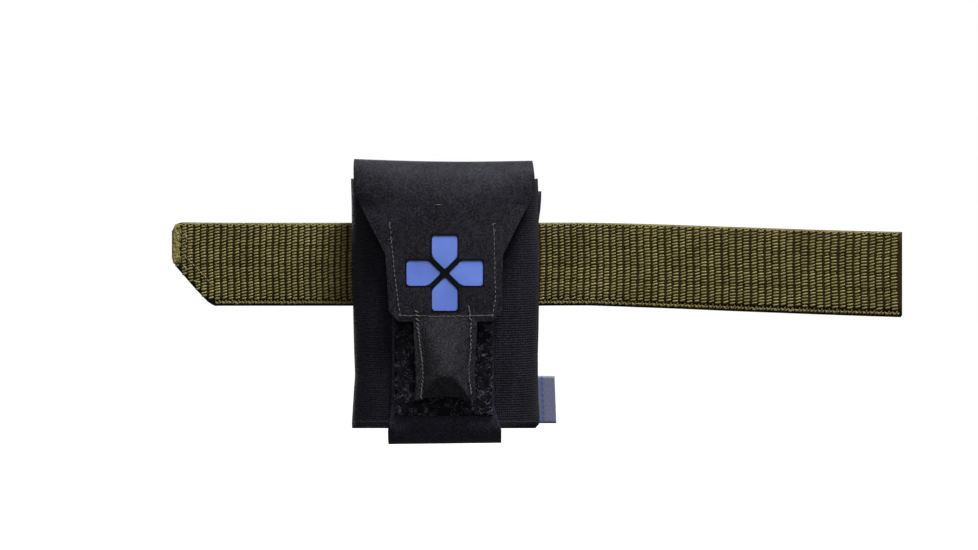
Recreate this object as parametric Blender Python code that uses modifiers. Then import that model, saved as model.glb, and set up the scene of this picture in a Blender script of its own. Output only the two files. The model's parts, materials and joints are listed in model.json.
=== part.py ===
"""Belt-mounted trauma kit pouch: an elastic sleeve on a webbing belt, holding a pull-out insert of first-aid
supplies under a flap with a cross, a pull tab and a hook-and-loop closing strap.

Metres, +Z up. +X is the right-hand side seen from the front, and -Y is the front.
The origin is the middle of the belt tunnel's wearer-side face, at the belt's mid-height.
Every fabric layer is a sheet of its real thickness, and touching layers keep GAP between them.
"""
import math

import bmesh
import bpy
from mathutils import Vector

# Sheet goods
GAP = 0.0003
LAMINATE = 0.0012
ELASTIC = 0.0012
PANEL = 0.0015
WEBBING = 0.0024
LINER = 0.0012
LOOP_PILE = 0.0017
HOOK_TAPE = 0.0008
THIN_LINING = 0.0006
BACKING_FILM = 0.0004
TAB_SKIN = 0.0009

# Belt, a section of 1.75 inch webbing
BELT_WIDTH = 0.0446
BELT_LEFT = -0.1469
BELT_RIGHT = 0.2406
TIP_ROUND = 0.0046
TIP_NOSE_TOP = 0.0036
TIP_NOSE_SLOPE = 2.9
TIP_NOSE_LENGTH = 0.0015
TIP_CUT_START = 0.0008
TIP_CUT_SLOPE = 1.112
BEND_START = 0.045
BEND_FORWARD = 0.0270
BEND_DROP = 0.0053

# Belt tunnel on the back of the pouch
TUNNEL_HALF_WIDTH = 0.035
TUNNEL_HALF_HEIGHT = 0.034
TUNNEL_CLEAR = 0.0232

# Sleeve and back panel
SLEEVE_HALF_WIDTH = 0.0498
SLEEVE_FRONT = -0.0375
SLEEVE_CORNER = 0.0134
SLEEVE_TOP = 0.0449
SLEEVE_BOTTOM = -0.0872
SEAM_WIDTH = 0.0095
PANEL_HALF_WIDTH = 0.0504
PANEL_TOP = 0.0390

# Closing strap
STRAP_HALF_WIDTH = 0.0301
TONGUE_HALF_WIDTH = 0.0267
STRAP_BOTTOM = -0.0957
STRAP_CORNER = 0.0064
STRAP_SHOULDER = -0.0746
STRAP_CREASE = -0.0875
TONGUE_TOP = -0.0040
LOOP_HALF_WIDTH = 0.0254
LOOP_BOTTOM = -0.0796

# Insert, flap and pull tab
INSERT_HALF_WIDTH = 0.0470
INSERT_BOTTOM = -0.0840
FOLD_TOP = 0.0552
FOLD_RADIUS = 0.0092
FLAP_CREASE = 0.04425
FLAP_HALF_WIDTH = 0.0473
FLAP_WIDE_END = 0.0370
FLAP_WAIST_HALF_WIDTH = 0.0306
FLAP_WAIST_TOP = 0.0040
FLAP_CHAMFER_TOP = -0.0245
FLAP_BOTTOM_HALF_WIDTH = 0.0242
FLAP_BOTTOM = -0.0303
CREASE_GAP = 0.00065
CROSS_CENTRE = (0.0005, -0.0049)
CROSS_REACH = 0.0198
CROSS_ARM_WIDTH = 0.0136
CROSS_BAR_WIDTH = 0.0021
TAB_CREASE = -0.03095
TAB_HALF_WIDTH = 0.0162
TAB_BOTTOM = -0.0696
TAB_APEX_HEIGHT = -0.0578
TAB_PUFF = 0.0100

# Depths of the layers, from the wearer's side to the front. Each is the middle of its sheet.
TUNNEL_Y = -LAMINATE / 2
LINER_Y = TUNNEL_Y - LAMINATE / 2 - GAP - LINER / 2
WEBBING_Y = LINER_Y - LINER / 2 - GAP - WEBBING / 2
PANEL_Y = WEBBING_Y - WEBBING / 2 - GAP - PANEL / 2
BEHIND_PANEL_Y = PANEL_Y + PANEL / 2 + GAP + LAMINATE / 2
SEAM_Y = PANEL_Y - PANEL / 2 - GAP - ELASTIC / 2
BOARD_Y = SEAM_Y - ELASTIC / 2 - GAP - LAMINATE / 2
TONGUE_Y = SLEEVE_FRONT - GAP - LAMINATE / 2
LOOP_Y = TONGUE_Y - LAMINATE / 2 - GAP - LOOP_PILE / 2
HOOK_Y = LOOP_Y - LOOP_PILE / 2 - GAP - HOOK_TAPE / 2
LINING_Y = HOOK_Y - HOOK_TAPE / 2 - GAP - THIN_LINING / 2
BACKING_Y = LINING_Y - THIN_LINING / 2 - GAP - BACKING_FILM / 2
FLAP_Y = BACKING_Y - BACKING_FILM / 2 - GAP - LAMINATE / 2
FLAP_FRONT = FLAP_Y - LAMINATE / 2

ARC_STEPS = 8


def clear_scene():
    for item in list(bpy.data.objects):
        bpy.data.objects.remove(item, do_unlink=True)


def material(name, color, roughness, metallic=0.0):
    made = bpy.data.materials.new(name)
    made.use_nodes = True
    shader = made.node_tree.nodes["Principled BSDF"]
    shader.inputs["Base Color"].default_value = (*color, 1.0)
    shader.inputs["Roughness"].default_value = roughness
    shader.inputs["Metallic"].default_value = metallic
    return made


def add_object(name, data, look, parent=None, smooth=False):
    """Puts new mesh or curve data in the pouch's collection, under the empty on its joint's axis."""
    made = bpy.data.objects.new(name, data)
    POUCH.objects.link(made)
    data.materials.append(look)
    if parent is not None:
        made.parent = parent
        made.location = -parent.location
    if smooth:
        data.shade_smooth()
        data.set_sharp_from_angle(angle=math.radians(40))
    return made


def joint_empty(name, y, z):
    """An empty on a joint's axis, which the moving pieces hang from."""
    pivot = bpy.data.objects.new(name, None)
    pivot.location = (0.0, y, z)
    POUCH.objects.link(pivot)
    return pivot


def thicken(piece, thickness, even=True):
    wall = piece.modifiers.new("thickness", "SOLIDIFY")
    wall.thickness = thickness
    wall.offset = 0.0
    wall.use_even_offset = even


def rounded_path(corners, radii):
    """A path through corners, each turned with an arc of its radius; the two ends stay as they are."""
    path = [Vector(corners[0])]
    for before, corner, after, radius in zip(corners, corners[1:], corners[2:], radii):
        back = (Vector(before) - Vector(corner)).normalized()
        on = (Vector(after) - Vector(corner)).normalized()
        half_angle = back.angle(on) / 2
        centre = Vector(corner) + (back + on).normalized() * radius / math.sin(half_angle)
        start = Vector(corner) + back * radius / math.tan(half_angle) - centre
        end = Vector(corner) + on * radius / math.tan(half_angle) - centre
        turn = start.angle(end)
        for i in range(ARC_STEPS + 1):
            t = i / ARC_STEPS
            spread = math.sin((1 - t) * turn) * start + math.sin(t * turn) * end
            path.append(centre + spread / math.sin(turn))
    path.append(Vector(corners[-1]))
    return path


def swept_sheet(name, path, sweep, thickness, look, parent=None):
    """A sheet folded along path and swept straight along the vector sweep."""
    mesh = bpy.data.meshes.new(name)
    form = bmesh.new()
    points = [form.verts.new(point) for point in path]
    for here, there in zip(points, points[1:]):
        form.edges.new((here, there))
    grown = bmesh.ops.extrude_edge_only(form, edges=form.edges[:])
    moved = [item for item in grown["geom"] if isinstance(item, bmesh.types.BMVert)]
    bmesh.ops.translate(form, verts=moved, vec=sweep)
    bmesh.ops.recalc_face_normals(form, faces=form.faces[:])
    form.to_mesh(mesh)
    form.free()
    piece = add_object(name, mesh, look, parent, smooth=True)
    thicken(piece, thickness)
    return piece


def folded_across(name, yz_corners, radii, half_width, thickness, look, parent=None):
    """A sheet folded in the YZ plane, the same across its whole width in X."""
    path = [(-half_width, y, z) for y, z in yz_corners]
    return swept_sheet(name, rounded_path(path, radii), (2 * half_width, 0, 0), thickness, look, parent)


def folded_around(name, xy_corners, radii, bottom, top, thickness, look, parent=None):
    """A sheet folded in the XY plane, the same over its whole height in Z."""
    path = [(x, y, bottom) for x, y in xy_corners]
    return swept_sheet(name, rounded_path(path, radii), (0, 0, top - bottom), thickness, look, parent)


def mirrored(half):
    """The whole outline of a half given at +X, from its first point round to that point's mirror image."""
    return list(half) + [(-x, other) for x, other in reversed(half)]


def outline_spline(curve, points):
    spline = curve.splines.new("POLY")
    spline.points.add(len(points) - 1)
    for slot, (x, z) in zip(spline.points, points):
        slot.co = (x, z, 0.0, 1.0)
    spline.use_cyclic_u = True


def flat_panel(name, outlines, y, thickness, look, parent=None):
    """A flat sheet standing in the XZ plane: its outline, then the outlines of any windows."""
    curve = bpy.data.curves.new(name, "CURVE")
    curve.dimensions = "2D"
    curve.fill_mode = "BOTH"
    curve.extrude = thickness / 2
    for points in outlines:
        outline_spline(curve, points)
    panel = add_object(name, curve, look, parent)
    offset = Vector(parent.location) if parent is not None else Vector()
    panel.location = Vector((0.0, y, 0.0)) - offset
    panel.rotation_euler = (math.radians(90), 0, 0)
    return panel


def soft_block(name, size, centre, rounding, look, parent=None):
    """A packed block with rounded edges."""
    mesh = bpy.data.meshes.new(name)
    form = bmesh.new()
    bmesh.ops.create_cube(form, size=1.0)
    bmesh.ops.scale(form, vec=size, verts=form.verts)
    bmesh.ops.translate(form, vec=centre, verts=form.verts)
    form.to_mesh(mesh)
    form.free()
    block = add_object(name, mesh, look, parent)
    edge = block.modifiers.new("rounding", "BEVEL")
    edge.width = rounding
    edge.segments = 2
    return block


# Belt

def smooth_share(x):
    """0 up to BEND_START, then 1 at the belt's right end."""
    return max(0.0, (x - BEND_START) / (BELT_RIGHT - BEND_START))


def belt_forward(x):
    """How far the belt has come towards the front at x, as it starts to go round the waist."""
    return BEND_FORWARD * smooth_share(x) ** 1.8


def belt_drop(x):
    """How far the belt's centre line has dropped at x."""
    swing = 0.75 * math.pi
    return BEND_DROP * (1 - math.cos(swing * smooth_share(x))) / (1 - math.cos(swing))


def belt_station(x):
    """The belt's lower and upper edge at x, from its centre line: the tip is rounded above and cut off below."""
    half = BELT_WIDTH / 2
    from_tip = x - BELT_LEFT
    rise = math.sqrt(max(0.0, 1 - (1 - min(from_tip / TIP_ROUND, 1.0)) ** 2))
    upper = half - TIP_ROUND * (1 - rise)
    lower = TIP_CUT_START - TIP_CUT_SLOPE * from_tip
    if from_tip < TIP_NOSE_LENGTH:
        lower = TIP_NOSE_TOP - TIP_NOSE_SLOPE * from_tip
    return max(lower, -half), upper


def belt_layer(name, y, thickness, look, parent):
    """One layer of the belt, swept through its stations."""
    half = BELT_WIDTH / 2
    cut_end = (half + TIP_CUT_START) / TIP_CUT_SLOPE
    near_tip = [0.0, TIP_NOSE_LENGTH / 2, TIP_NOSE_LENGTH, 0.0030, TIP_ROUND, 0.0120, cut_end]
    stations = [BELT_LEFT + step for step in near_tip]
    stations += [BEND_START * share for share in (-2.4, -1.2, 0.0, 1.0)]
    bends = 12
    stations += [BEND_START + (BELT_RIGHT - BEND_START) * (i + 1) / bends for i in range(bends)]
    mesh = bpy.data.meshes.new(name)
    form = bmesh.new()
    bmesh.ops.create_grid(form, x_segments=len(stations) - 1, y_segments=1, size=0.5)
    form.verts.ensure_lookup_table()
    for vert in form.verts:
        column = round((vert.co.x + 0.5) * (len(stations) - 1))
        x = stations[column]
        lower, upper = belt_station(x)
        edge = upper if vert.co.y > 0 else lower
        vert.co = (x, y - belt_forward(x), edge - belt_drop(x))
    form.to_mesh(mesh)
    form.free()
    layer = add_object(name, mesh, look, parent, smooth=True)
    thicken(layer, thickness)


def build_belt(parent):
    belt_layer("belt_webbing", WEBBING_Y, WEBBING, OLIVE_WEBBING, parent)
    belt_layer("belt_liner", LINER_Y, LINER, LINER_BLACK, parent)


# Carrier: back panel, sleeve, belt tunnel, label and the fixed end of the strap

def build_back_panel():
    corner = 0.003
    half = [
        (PANEL_HALF_WIDTH - corner, SLEEVE_BOTTOM),
        (PANEL_HALF_WIDTH, SLEEVE_BOTTOM + corner),
        (PANEL_HALF_WIDTH, PANEL_TOP - corner),
        (PANEL_HALF_WIDTH - corner, PANEL_TOP),
    ]
    flat_panel("back_panel", [mirrored(half)], PANEL_Y, PANEL, LAMINATE_BLACK)


def build_sleeve():
    wall = SLEEVE_HALF_WIDTH - ELASTIC / 2
    front = SLEEVE_FRONT + ELASTIC / 2
    half = [(wall - SEAM_WIDTH, SEAM_Y), (wall, SEAM_Y), (wall, front)]
    seam_corner = 0.0010
    radii = [seam_corner, SLEEVE_CORNER, SLEEVE_CORNER, seam_corner]
    folded_around("elastic_sleeve", mirrored(half), radii, SLEEVE_BOTTOM, SLEEVE_TOP, ELASTIC, ELASTIC_BLACK)


def build_belt_tunnel():
    land = TUNNEL_CLEAR + 0.0020
    half = [(BEHIND_PANEL_Y, TUNNEL_HALF_HEIGHT), (BEHIND_PANEL_Y, land), (TUNNEL_Y, TUNNEL_CLEAR)]
    other_half = [(y, -z) for y, z in reversed(half)]
    bend = 0.0008
    folded_across("belt_tunnel", half + other_half, [bend] * 4, TUNNEL_HALF_WIDTH, LAMINATE, LAMINATE_BLACK)


def build_label():
    width = 0.0170
    bottom, top = -0.0850, -0.0605
    right = 0.0598
    points = [(right - width, bottom), (right, bottom), (right, top), (right - width, top)]
    flat_panel("label_tag", [points], BEHIND_PANEL_Y, LAMINATE / 2, LABEL_RIBBON)


def build_strap_base():
    bottom = STRAP_BOTTOM + LAMINATE / 2
    sewn_top = -0.0600
    corners = [
        (BEHIND_PANEL_Y, sewn_top),
        (BEHIND_PANEL_Y, bottom),
        (TONGUE_Y, bottom),
        (TONGUE_Y, STRAP_CREASE - CREASE_GAP),
    ]
    radii = [STRAP_CORNER, STRAP_CORNER]
    folded_across("strap_base", corners, radii, STRAP_HALF_WIDTH, LAMINATE, LAMINATE_BLACK)


# Strap: the part that peels off

def build_strap(parent):
    corner = 0.0050
    low = STRAP_CREASE + CREASE_GAP
    half = [
        (STRAP_HALF_WIDTH, low),
        (TONGUE_HALF_WIDTH, STRAP_SHOULDER),
        (TONGUE_HALF_WIDTH, TONGUE_TOP - corner),
        (TONGUE_HALF_WIDTH - corner, TONGUE_TOP),
    ]
    flat_panel("strap_tongue", [mirrored(half)], TONGUE_Y, LAMINATE, LAMINATE_BLACK, parent)
    pile_corner = 0.0030
    pile_top = TONGUE_TOP - 0.0020
    pile = [
        (LOOP_HALF_WIDTH - pile_corner, LOOP_BOTTOM),
        (LOOP_HALF_WIDTH, LOOP_BOTTOM + pile_corner),
        (LOOP_HALF_WIDTH, pile_top - pile_corner),
        (LOOP_HALF_WIDTH - pile_corner, pile_top),
    ]
    flat_panel("loop_field", [mirrored(pile)], LOOP_Y, LOOP_PILE, LOOP_BLACK, parent)


# Insert: the board that carries the supplies, and its fold over the top

def build_insert_board(parent):
    over = FOLD_TOP - LAMINATE / 2
    corners = [
        (BOARD_Y, INSERT_BOTTOM),
        (BOARD_Y, over),
        (FLAP_Y, over),
        (FLAP_Y, FLAP_CREASE + CREASE_GAP),
    ]
    radii = [FOLD_RADIUS, FOLD_RADIUS]
    folded_across("insert_board", corners, radii, INSERT_HALF_WIDTH, LAMINATE, LAMINATE_BLACK, parent)


def build_bands(parent):
    """Two elastic bands sewn to the board at their ends, over the supplies."""
    wall = 0.0420
    wing = 0.0034
    seam_y = BOARD_Y - LAMINATE / 2 - GAP - ELASTIC / 2
    front = -0.0331
    half = [(wall + wing, seam_y), (wall, seam_y), (wall, front)]
    band_corner = 0.0085
    seam_corner = 0.0007
    radii = [seam_corner, band_corner, band_corner, seam_corner]
    for name, bottom, top in (("lower_band", -0.0720, -0.0330), ("upper_band", -0.0040, 0.0300)):
        folded_around(name, mirrored(half), radii, bottom, top, ELASTIC, ELASTIC_BLACK, parent)


def build_supplies(parent):
    """The contents, from the board out to the bands."""
    back = BOARD_Y - LAMINATE / 2 - GAP
    layers = [
        ("chest_seal_packet", 0.0820, -0.0810, 0.0340, 0.0020, FOIL),
        ("haemostatic_gauze", 0.0760, -0.0800, -0.0220, 0.0075, FOIL),
        ("pressure_bandage", 0.0740, -0.0800, -0.0220, 0.0090, PACK_TAN),
        ("glove_packet", 0.0640, -0.0790, -0.0240, 0.0024, GLOVE_BLUE),
    ]
    for name, width, bottom, top, thick, look in layers:
        size = (width, thick, top - bottom)
        centre = (0.0, back - thick / 2, (top + bottom) / 2)
        soft_block(name, size, centre, min(thick * 0.4, 0.0030), look, parent)
        back -= thick + GAP
    roll_height = 0.0400
    roll_depth = 0.0192
    roll_back = BOARD_Y - LAMINATE / 2 - GAP - layers[0][4] - GAP
    centre = (0.0, roll_back - roll_depth / 2, 0.0130)
    soft_block("tourniquet_roll", (0.0720, roll_depth, roll_height), centre, 0.0080, BAND_ORANGE, parent)


# Flap

def cross_windows():
    """The four windows of the cross, each a square-ended arm with a pointed inner end."""
    arm = CROSS_ARM_WIDTH / 2
    corner = 0.0013
    tip = CROSS_BAR_WIDTH / math.sqrt(2)
    blunt = 0.0007
    window = [
        (arm - corner, CROSS_REACH),
        (arm, CROSS_REACH - corner),
        (arm, tip + arm),
        (blunt, tip + blunt),
    ]
    outlines = []
    for quarter in range(4):
        turn = quarter * math.pi / 2
        turned = []
        for x, z in mirrored(window):
            turned.append((
                CROSS_CENTRE[0] + x * math.cos(turn) - z * math.sin(turn),
                CROSS_CENTRE[1] + x * math.sin(turn) + z * math.cos(turn),
            ))
        outlines.append(turned)
    return outlines


def build_flap(parent):
    half = [
        (FLAP_HALF_WIDTH, FLAP_CREASE - CREASE_GAP),
        (FLAP_HALF_WIDTH, FLAP_WIDE_END),
        (FLAP_WAIST_HALF_WIDTH, FLAP_WAIST_TOP),
        (FLAP_WAIST_HALF_WIDTH - 0.0010, FLAP_CHAMFER_TOP),
        (FLAP_BOTTOM_HALF_WIDTH, FLAP_BOTTOM),
    ]
    flat_panel("flap_shell", [mirrored(half)] + cross_windows(), FLAP_Y, LAMINATE, LAMINATE_BLACK, parent)
    margin = 0.0025
    film = [
        (FLAP_WAIST_HALF_WIDTH - 2 * margin, FLAP_BOTTOM + margin),
        (FLAP_WAIST_HALF_WIDTH - 2 * margin, 0.0195),
    ]
    flat_panel("cross_backing", [mirrored(film)], BACKING_Y, BACKING_FILM, BACKING_BLUE, parent)
    lining = [
        (FLAP_BOTTOM_HALF_WIDTH, FLAP_BOTTOM + margin),
        (FLAP_WAIST_HALF_WIDTH - margin, FLAP_CHAMFER_TOP + margin),
        (FLAP_WAIST_HALF_WIDTH - margin, 0.0215),
    ]
    flat_panel("flap_lining", [mirrored(lining)], LINING_Y, THIN_LINING, LAMINATE_BLACK, parent)
    hook = [
        (0.0235, FLAP_BOTTOM + 2 * margin),
        (0.0235, TONGUE_TOP - 0.0010),
    ]
    flat_panel("flap_hook_panel", [mirrored(hook)], HOOK_Y, HOOK_TAPE, HOOK_BLACK, parent)


# Pull tab

def tab_puff(u, v):
    """How far the tab's front stands off its back at u across (-1 to 1) and v down (0 to 1): a long dome
    between two flat sewn edges, growing towards its peak near the bottom, with a sloping end below it."""
    peak = (TAB_CREASE - TAB_APEX_HEIGHT) / (TAB_CREASE - TAB_BOTTOM)
    along = (v / peak) ** 0.9 if v < peak else (1 - v) / (1 - peak)
    flat_edge = 0.78
    across = min(1.0, abs(u) / flat_edge)
    return TAB_PUFF * along * (1 - across ** 1.7)


def tab_point(u, row, rows):
    """A point of the tab's skin: down the back sheet, then up the puffed front."""
    back_y = FLAP_Y + 0.0016
    height = TAB_CREASE - CREASE_GAP - TAB_BOTTOM
    down = row / rows * 2
    v = down if down <= 1 else 2 - down
    z = TAB_CREASE - CREASE_GAP - height * v
    x = TAB_HALF_WIDTH * u
    if down < 1:
        return x, back_y, z
    if row * 2 == rows:
        return x, (back_y + FLAP_Y) / 2, z - LAMINATE / 2
    return x, FLAP_Y - tab_puff(u, v), z


def build_pull_tab(parent):
    columns, rows = 12, 24
    mesh = bpy.data.meshes.new("pull_tab_skin")
    form = bmesh.new()
    bmesh.ops.create_grid(form, x_segments=columns, y_segments=rows, size=0.5)
    for vert in form.verts:
        row = round((vert.co.y + 0.5) * rows)
        vert.co = tab_point(vert.co.x * 2, row, rows)
    bmesh.ops.recalc_face_normals(form, faces=form.faces[:])
    form.to_mesh(mesh)
    form.free()
    skin = add_object("pull_tab_skin", mesh, LAMINATE_BLACK, parent, smooth=True)
    thicken(skin, TAB_SKIN, even=False)
    build_tab_core(parent)


def build_tab_core(parent):
    """A foam wedge that fills the tab's tent."""
    columns, rows = 6, 8
    top, bottom = 0.35, 0.93
    half_width = 0.52
    mesh = bpy.data.meshes.new("pull_tab_core")
    form = bmesh.new()
    bmesh.ops.create_grid(form, x_segments=columns, y_segments=rows, size=0.5)
    height = TAB_CREASE - TAB_BOTTOM
    for vert in form.verts:
        u = vert.co.x * 2 * half_width
        v = top + (vert.co.y + 0.5) * (bottom - top)
        lift = max(0.0, tab_puff(u, v) - 0.0014)
        vert.co = (TAB_HALF_WIDTH * u, FLAP_Y + 0.0006 - lift, TAB_CREASE - height * v)
    back = bmesh.ops.extrude_face_region(form, geom=form.faces[:])
    for item in back["geom"]:
        if isinstance(item, bmesh.types.BMVert):
            item.co.y = FLAP_Y + 0.0009
    bmesh.ops.recalc_face_normals(form, faces=form.faces[:])
    form.to_mesh(mesh)
    form.free()
    add_object("pull_tab_core", mesh, FOAM_GREY, parent)


clear_scene()
POUCH = bpy.data.collections.new("trauma_pouch")
bpy.context.scene.collection.children.link(POUCH)

OLIVE_WEBBING = material("olive_webbing", (0.063, 0.051, 0.021), 0.85)
LINER_BLACK = material("liner_black", (0.010, 0.010, 0.011), 0.95)
LAMINATE_BLACK = material("laminate_black", (0.020, 0.020, 0.024), 0.62)
ELASTIC_BLACK = material("elastic_black", (0.012, 0.012, 0.015), 0.80)
LOOP_BLACK = material("loop_black", (0.008, 0.008, 0.010), 0.95)
HOOK_BLACK = material("hook_black", (0.010, 0.010, 0.011), 0.55)
BACKING_BLUE = material("backing_blue", (0.125, 0.205, 0.620), 0.50)
LABEL_RIBBON = material("label_ribbon", (0.125, 0.135, 0.225), 0.60)
FOIL = material("foil", (0.52, 0.53, 0.54), 0.30, 0.6)
PACK_TAN = material("pack_tan", (0.36, 0.30, 0.21), 0.45)
GLOVE_BLUE = material("glove_blue", (0.08, 0.16, 0.36), 0.45)
BAND_ORANGE = material("band_orange", (0.62, 0.18, 0.03), 0.60)
FOAM_GREY = material("foam_grey", (0.10, 0.10, 0.10), 0.90)

build_back_panel()
build_sleeve()
build_belt_tunnel()
build_label()
build_strap_base()
build_belt(joint_empty("belt_path", WEBBING_Y, 0.0))
build_strap(joint_empty("strap_crease", TONGUE_Y - LAMINATE / 2, STRAP_CREASE))
insert_path = joint_empty("insert_path", BOARD_Y, INSERT_BOTTOM)
build_insert_board(insert_path)
build_bands(insert_path)
build_supplies(insert_path)
build_flap(joint_empty("flap_crease", FLAP_FRONT, FLAP_CREASE))
build_pull_tab(joint_empty("tab_crease", FLAP_FRONT, TAB_CREASE))
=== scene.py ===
import json
import math
import random

import bmesh
import bpy
import numpy as np
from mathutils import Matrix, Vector

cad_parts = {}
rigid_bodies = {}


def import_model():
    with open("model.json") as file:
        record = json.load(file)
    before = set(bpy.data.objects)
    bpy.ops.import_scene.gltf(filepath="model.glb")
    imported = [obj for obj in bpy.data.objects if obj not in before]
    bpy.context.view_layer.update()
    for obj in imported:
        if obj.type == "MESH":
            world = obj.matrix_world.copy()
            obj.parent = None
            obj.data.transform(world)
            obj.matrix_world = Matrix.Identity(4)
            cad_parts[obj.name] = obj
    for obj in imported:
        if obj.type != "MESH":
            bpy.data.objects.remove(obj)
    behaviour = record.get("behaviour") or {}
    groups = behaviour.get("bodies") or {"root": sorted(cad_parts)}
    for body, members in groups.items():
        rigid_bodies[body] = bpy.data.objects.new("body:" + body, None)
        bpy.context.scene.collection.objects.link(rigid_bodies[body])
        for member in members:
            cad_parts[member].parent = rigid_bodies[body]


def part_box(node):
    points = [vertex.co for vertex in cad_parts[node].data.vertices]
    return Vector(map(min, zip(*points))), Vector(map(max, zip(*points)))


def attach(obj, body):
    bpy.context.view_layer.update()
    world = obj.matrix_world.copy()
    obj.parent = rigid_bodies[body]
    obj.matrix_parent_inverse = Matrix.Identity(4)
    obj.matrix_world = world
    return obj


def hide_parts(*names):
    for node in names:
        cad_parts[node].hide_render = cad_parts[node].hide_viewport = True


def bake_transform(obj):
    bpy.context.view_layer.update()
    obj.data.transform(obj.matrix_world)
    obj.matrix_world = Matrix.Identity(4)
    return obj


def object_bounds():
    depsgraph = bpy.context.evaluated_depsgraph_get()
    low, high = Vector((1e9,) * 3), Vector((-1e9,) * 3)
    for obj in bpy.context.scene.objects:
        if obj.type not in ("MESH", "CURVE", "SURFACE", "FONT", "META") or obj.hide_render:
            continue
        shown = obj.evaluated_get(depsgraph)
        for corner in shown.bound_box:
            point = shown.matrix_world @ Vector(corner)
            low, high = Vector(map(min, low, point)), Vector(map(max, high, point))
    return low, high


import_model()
cad_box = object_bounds()

MM = 0.001


def mm(*values):
    """Numbers or points in millimetres, as an array in metres."""
    return np.array(values) * MM


def profile(at, places, values):
    """A profile's value at a place: straight between its points, both lists in millimetres."""
    return np.interp(at, mm(*places), mm(*values))


# Places from the frame

def low(node):
    """A CAD node's lower left front corner."""
    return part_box(node)[0]


def high(node):
    """A CAD node's upper right back corner."""
    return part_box(node)[1]


BELT_LEFT = low("belt_webbing").x
BELT_RIGHT = high("belt_webbing").x
BELT_HALF = high("belt_webbing").z
BELT_BACK = high("belt_webbing").y
WEBBING_THICKNESS = 2.4 * MM
BELT_FRONT = BELT_BACK - WEBBING_THICKNESS
BEND_START = 45 * MM
BEND_FORWARD = BELT_FRONT - low("belt_webbing").y
BEND_DROP = high("belt_webbing").z - low("belt_webbing").z - 2 * BELT_HALF

SLEEVE_TOP = high("elastic_sleeve").z
SLEEVE_BOTTOM = low("elastic_sleeve").z
SLEEVE_FRONT = low("elastic_sleeve").y
SLEEVE_BACK = high("elastic_sleeve").y

FLAP_FRONT = low("flap_shell").y
FLAP_BOTTOM = low("flap_shell").z
FOLD_TOP = high("insert_board").z
BOARD_BACK = high("insert_board").y

TONGUE_FRONT = low("strap_tongue").y
STRAP_BOTTOM = low("strap_base").z

TAB_TOP = high("pull_tab_skin").z
TAB_BOTTOM = low("pull_tab_skin").z

# The cross: its centre in X and Z, its corner radius, how far an arm reaches from the centre and half its
# width, the bars between the windows, its stretch across and up, and the dark rim round it
CROSS = (0.73 * MM, -5.17 * MM)
CROSS_CORNER = 1.55 * MM
CROSS_REACH = 19.7 * MM
CROSS_ARM = 6.6 * MM
CROSS_BAR = 2.5 * MM
CROSS_WIDEN = (1.008, 0.992)
CROSS_RIM = 0.80 * MM


# Nodes of a material

class Nodes:
    """A node tree under construction. Each method adds a node and gives its output."""

    def __init__(self, owner):
        owner.use_nodes = True
        self.tree = owner.node_tree

    def add(self, kind, output, inputs, **settings):
        made = self.tree.nodes.new("ShaderNode" + kind)
        for key, value in settings.items():
            setattr(made, key, value)
        for key, value in inputs.items():
            self.feed(made.inputs[key], value)
        return made.outputs[output]

    def feed(self, socket, value):
        if isinstance(value, bpy.types.NodeSocket):
            self.tree.links.new(value, socket)
        else:
            socket.default_value = value

    def cloth(self):
        """The piece's cloth map: across and along, in metres."""
        return self.add("UVMap", "UV", {}, uv_map="cloth")

    def place(self):
        return self.add("TexCoord", "Object", {})

    def scaled(self, vector, scale):
        return self.add("Mapping", "Vector", {"Vector": vector, "Scale": scale})

    def noise(self, vector, scale, detail=2.0, roughness=0.5):
        return self.add("TexNoise", "Fac", {"Vector": vector, "Scale": scale, "Detail": detail,
                                            "Roughness": roughness})

    def math(self, operation, a, b=0.0, clamp=False):
        return self.add("Math", "Value", {0: a, 1: b}, operation=operation, use_clamp=clamp)

    def wave(self, coordinate, pitch):
        """A sine along a coordinate in metres, from -1 to 1."""
        return self.math("SINE", self.math("MULTIPLY", coordinate, 2 * math.pi / pitch))

    def split(self, vector):
        parts = self.add("SeparateXYZ", "X", {"Vector": vector}).node.outputs
        return parts["X"], parts["Y"], parts["Z"]

    def ramp(self, value, low_end, high_end, low_value, high_value):
        ends = {"From Min": low_end, "From Max": high_end, "To Min": low_value, "To Max": high_value}
        return self.add("MapRange", "Result", {"Value": value, **ends})

    def speckle(self, grain, dark, light, spread=0.2):
        """A colour between two by a noise, whose values lie around a half."""
        return self.mix(self.ramp(grain, 0.5 - spread, 0.5 + spread, 0, 1), dark, light)

    def mix(self, share, first, second):
        first, second = ((*c, 1) if isinstance(c, tuple) else c for c in (first, second))
        return self.add("Mix", 2, {"Factor": share, 6: first, 7: second}, data_type="RGBA")

    def show(self, output, lit, seen):
        """Ends the tree: one shader for the camera's rays, and another for the rays that light the object."""
        camera_ray = self.add("LightPath", "Is Camera Ray", {})
        both = self.add("MixShader", 0, {"Fac": camera_ray, 1: lit, 2: seen})
        self.feed(self.tree.nodes[output].inputs["Surface"], both)


class Surface(Nodes):
    """One of the object's materials, round a single shader, with bumps laid over each other."""

    def __init__(self, name, roughness=0.7, sheen=0.0, specular=0.5, metallic=0.0):
        self.material = bpy.data.materials.new(name)
        super().__init__(self.material)
        self.sockets = self.tree.nodes["Principled BSDF"].inputs
        plain = {"Base Color": (0.5, 0.5, 0.5, 1), "Roughness": roughness, "Metallic": metallic,
                 "Specular IOR Level": specular, "Sheen Weight": sheen, "Sheen Roughness": 0.5}
        for key, value in plain.items():
            self.sockets[key].default_value = value
        self.bumps = None

    def bump(self, height, depth, strength=1.0):
        below = {} if self.bumps is None else {"Normal": self.bumps}
        self.bumps = self.add("Bump", "Normal", {"Strength": strength, "Distance": depth, "Height": height,
                                                 **below})

    def color(self, value):
        self.feed(self.sockets["Base Color"], value)

    def done(self):
        if self.bumps is not None:
            self.feed(self.sockets["Normal"], self.bumps)
        return self.material


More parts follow.
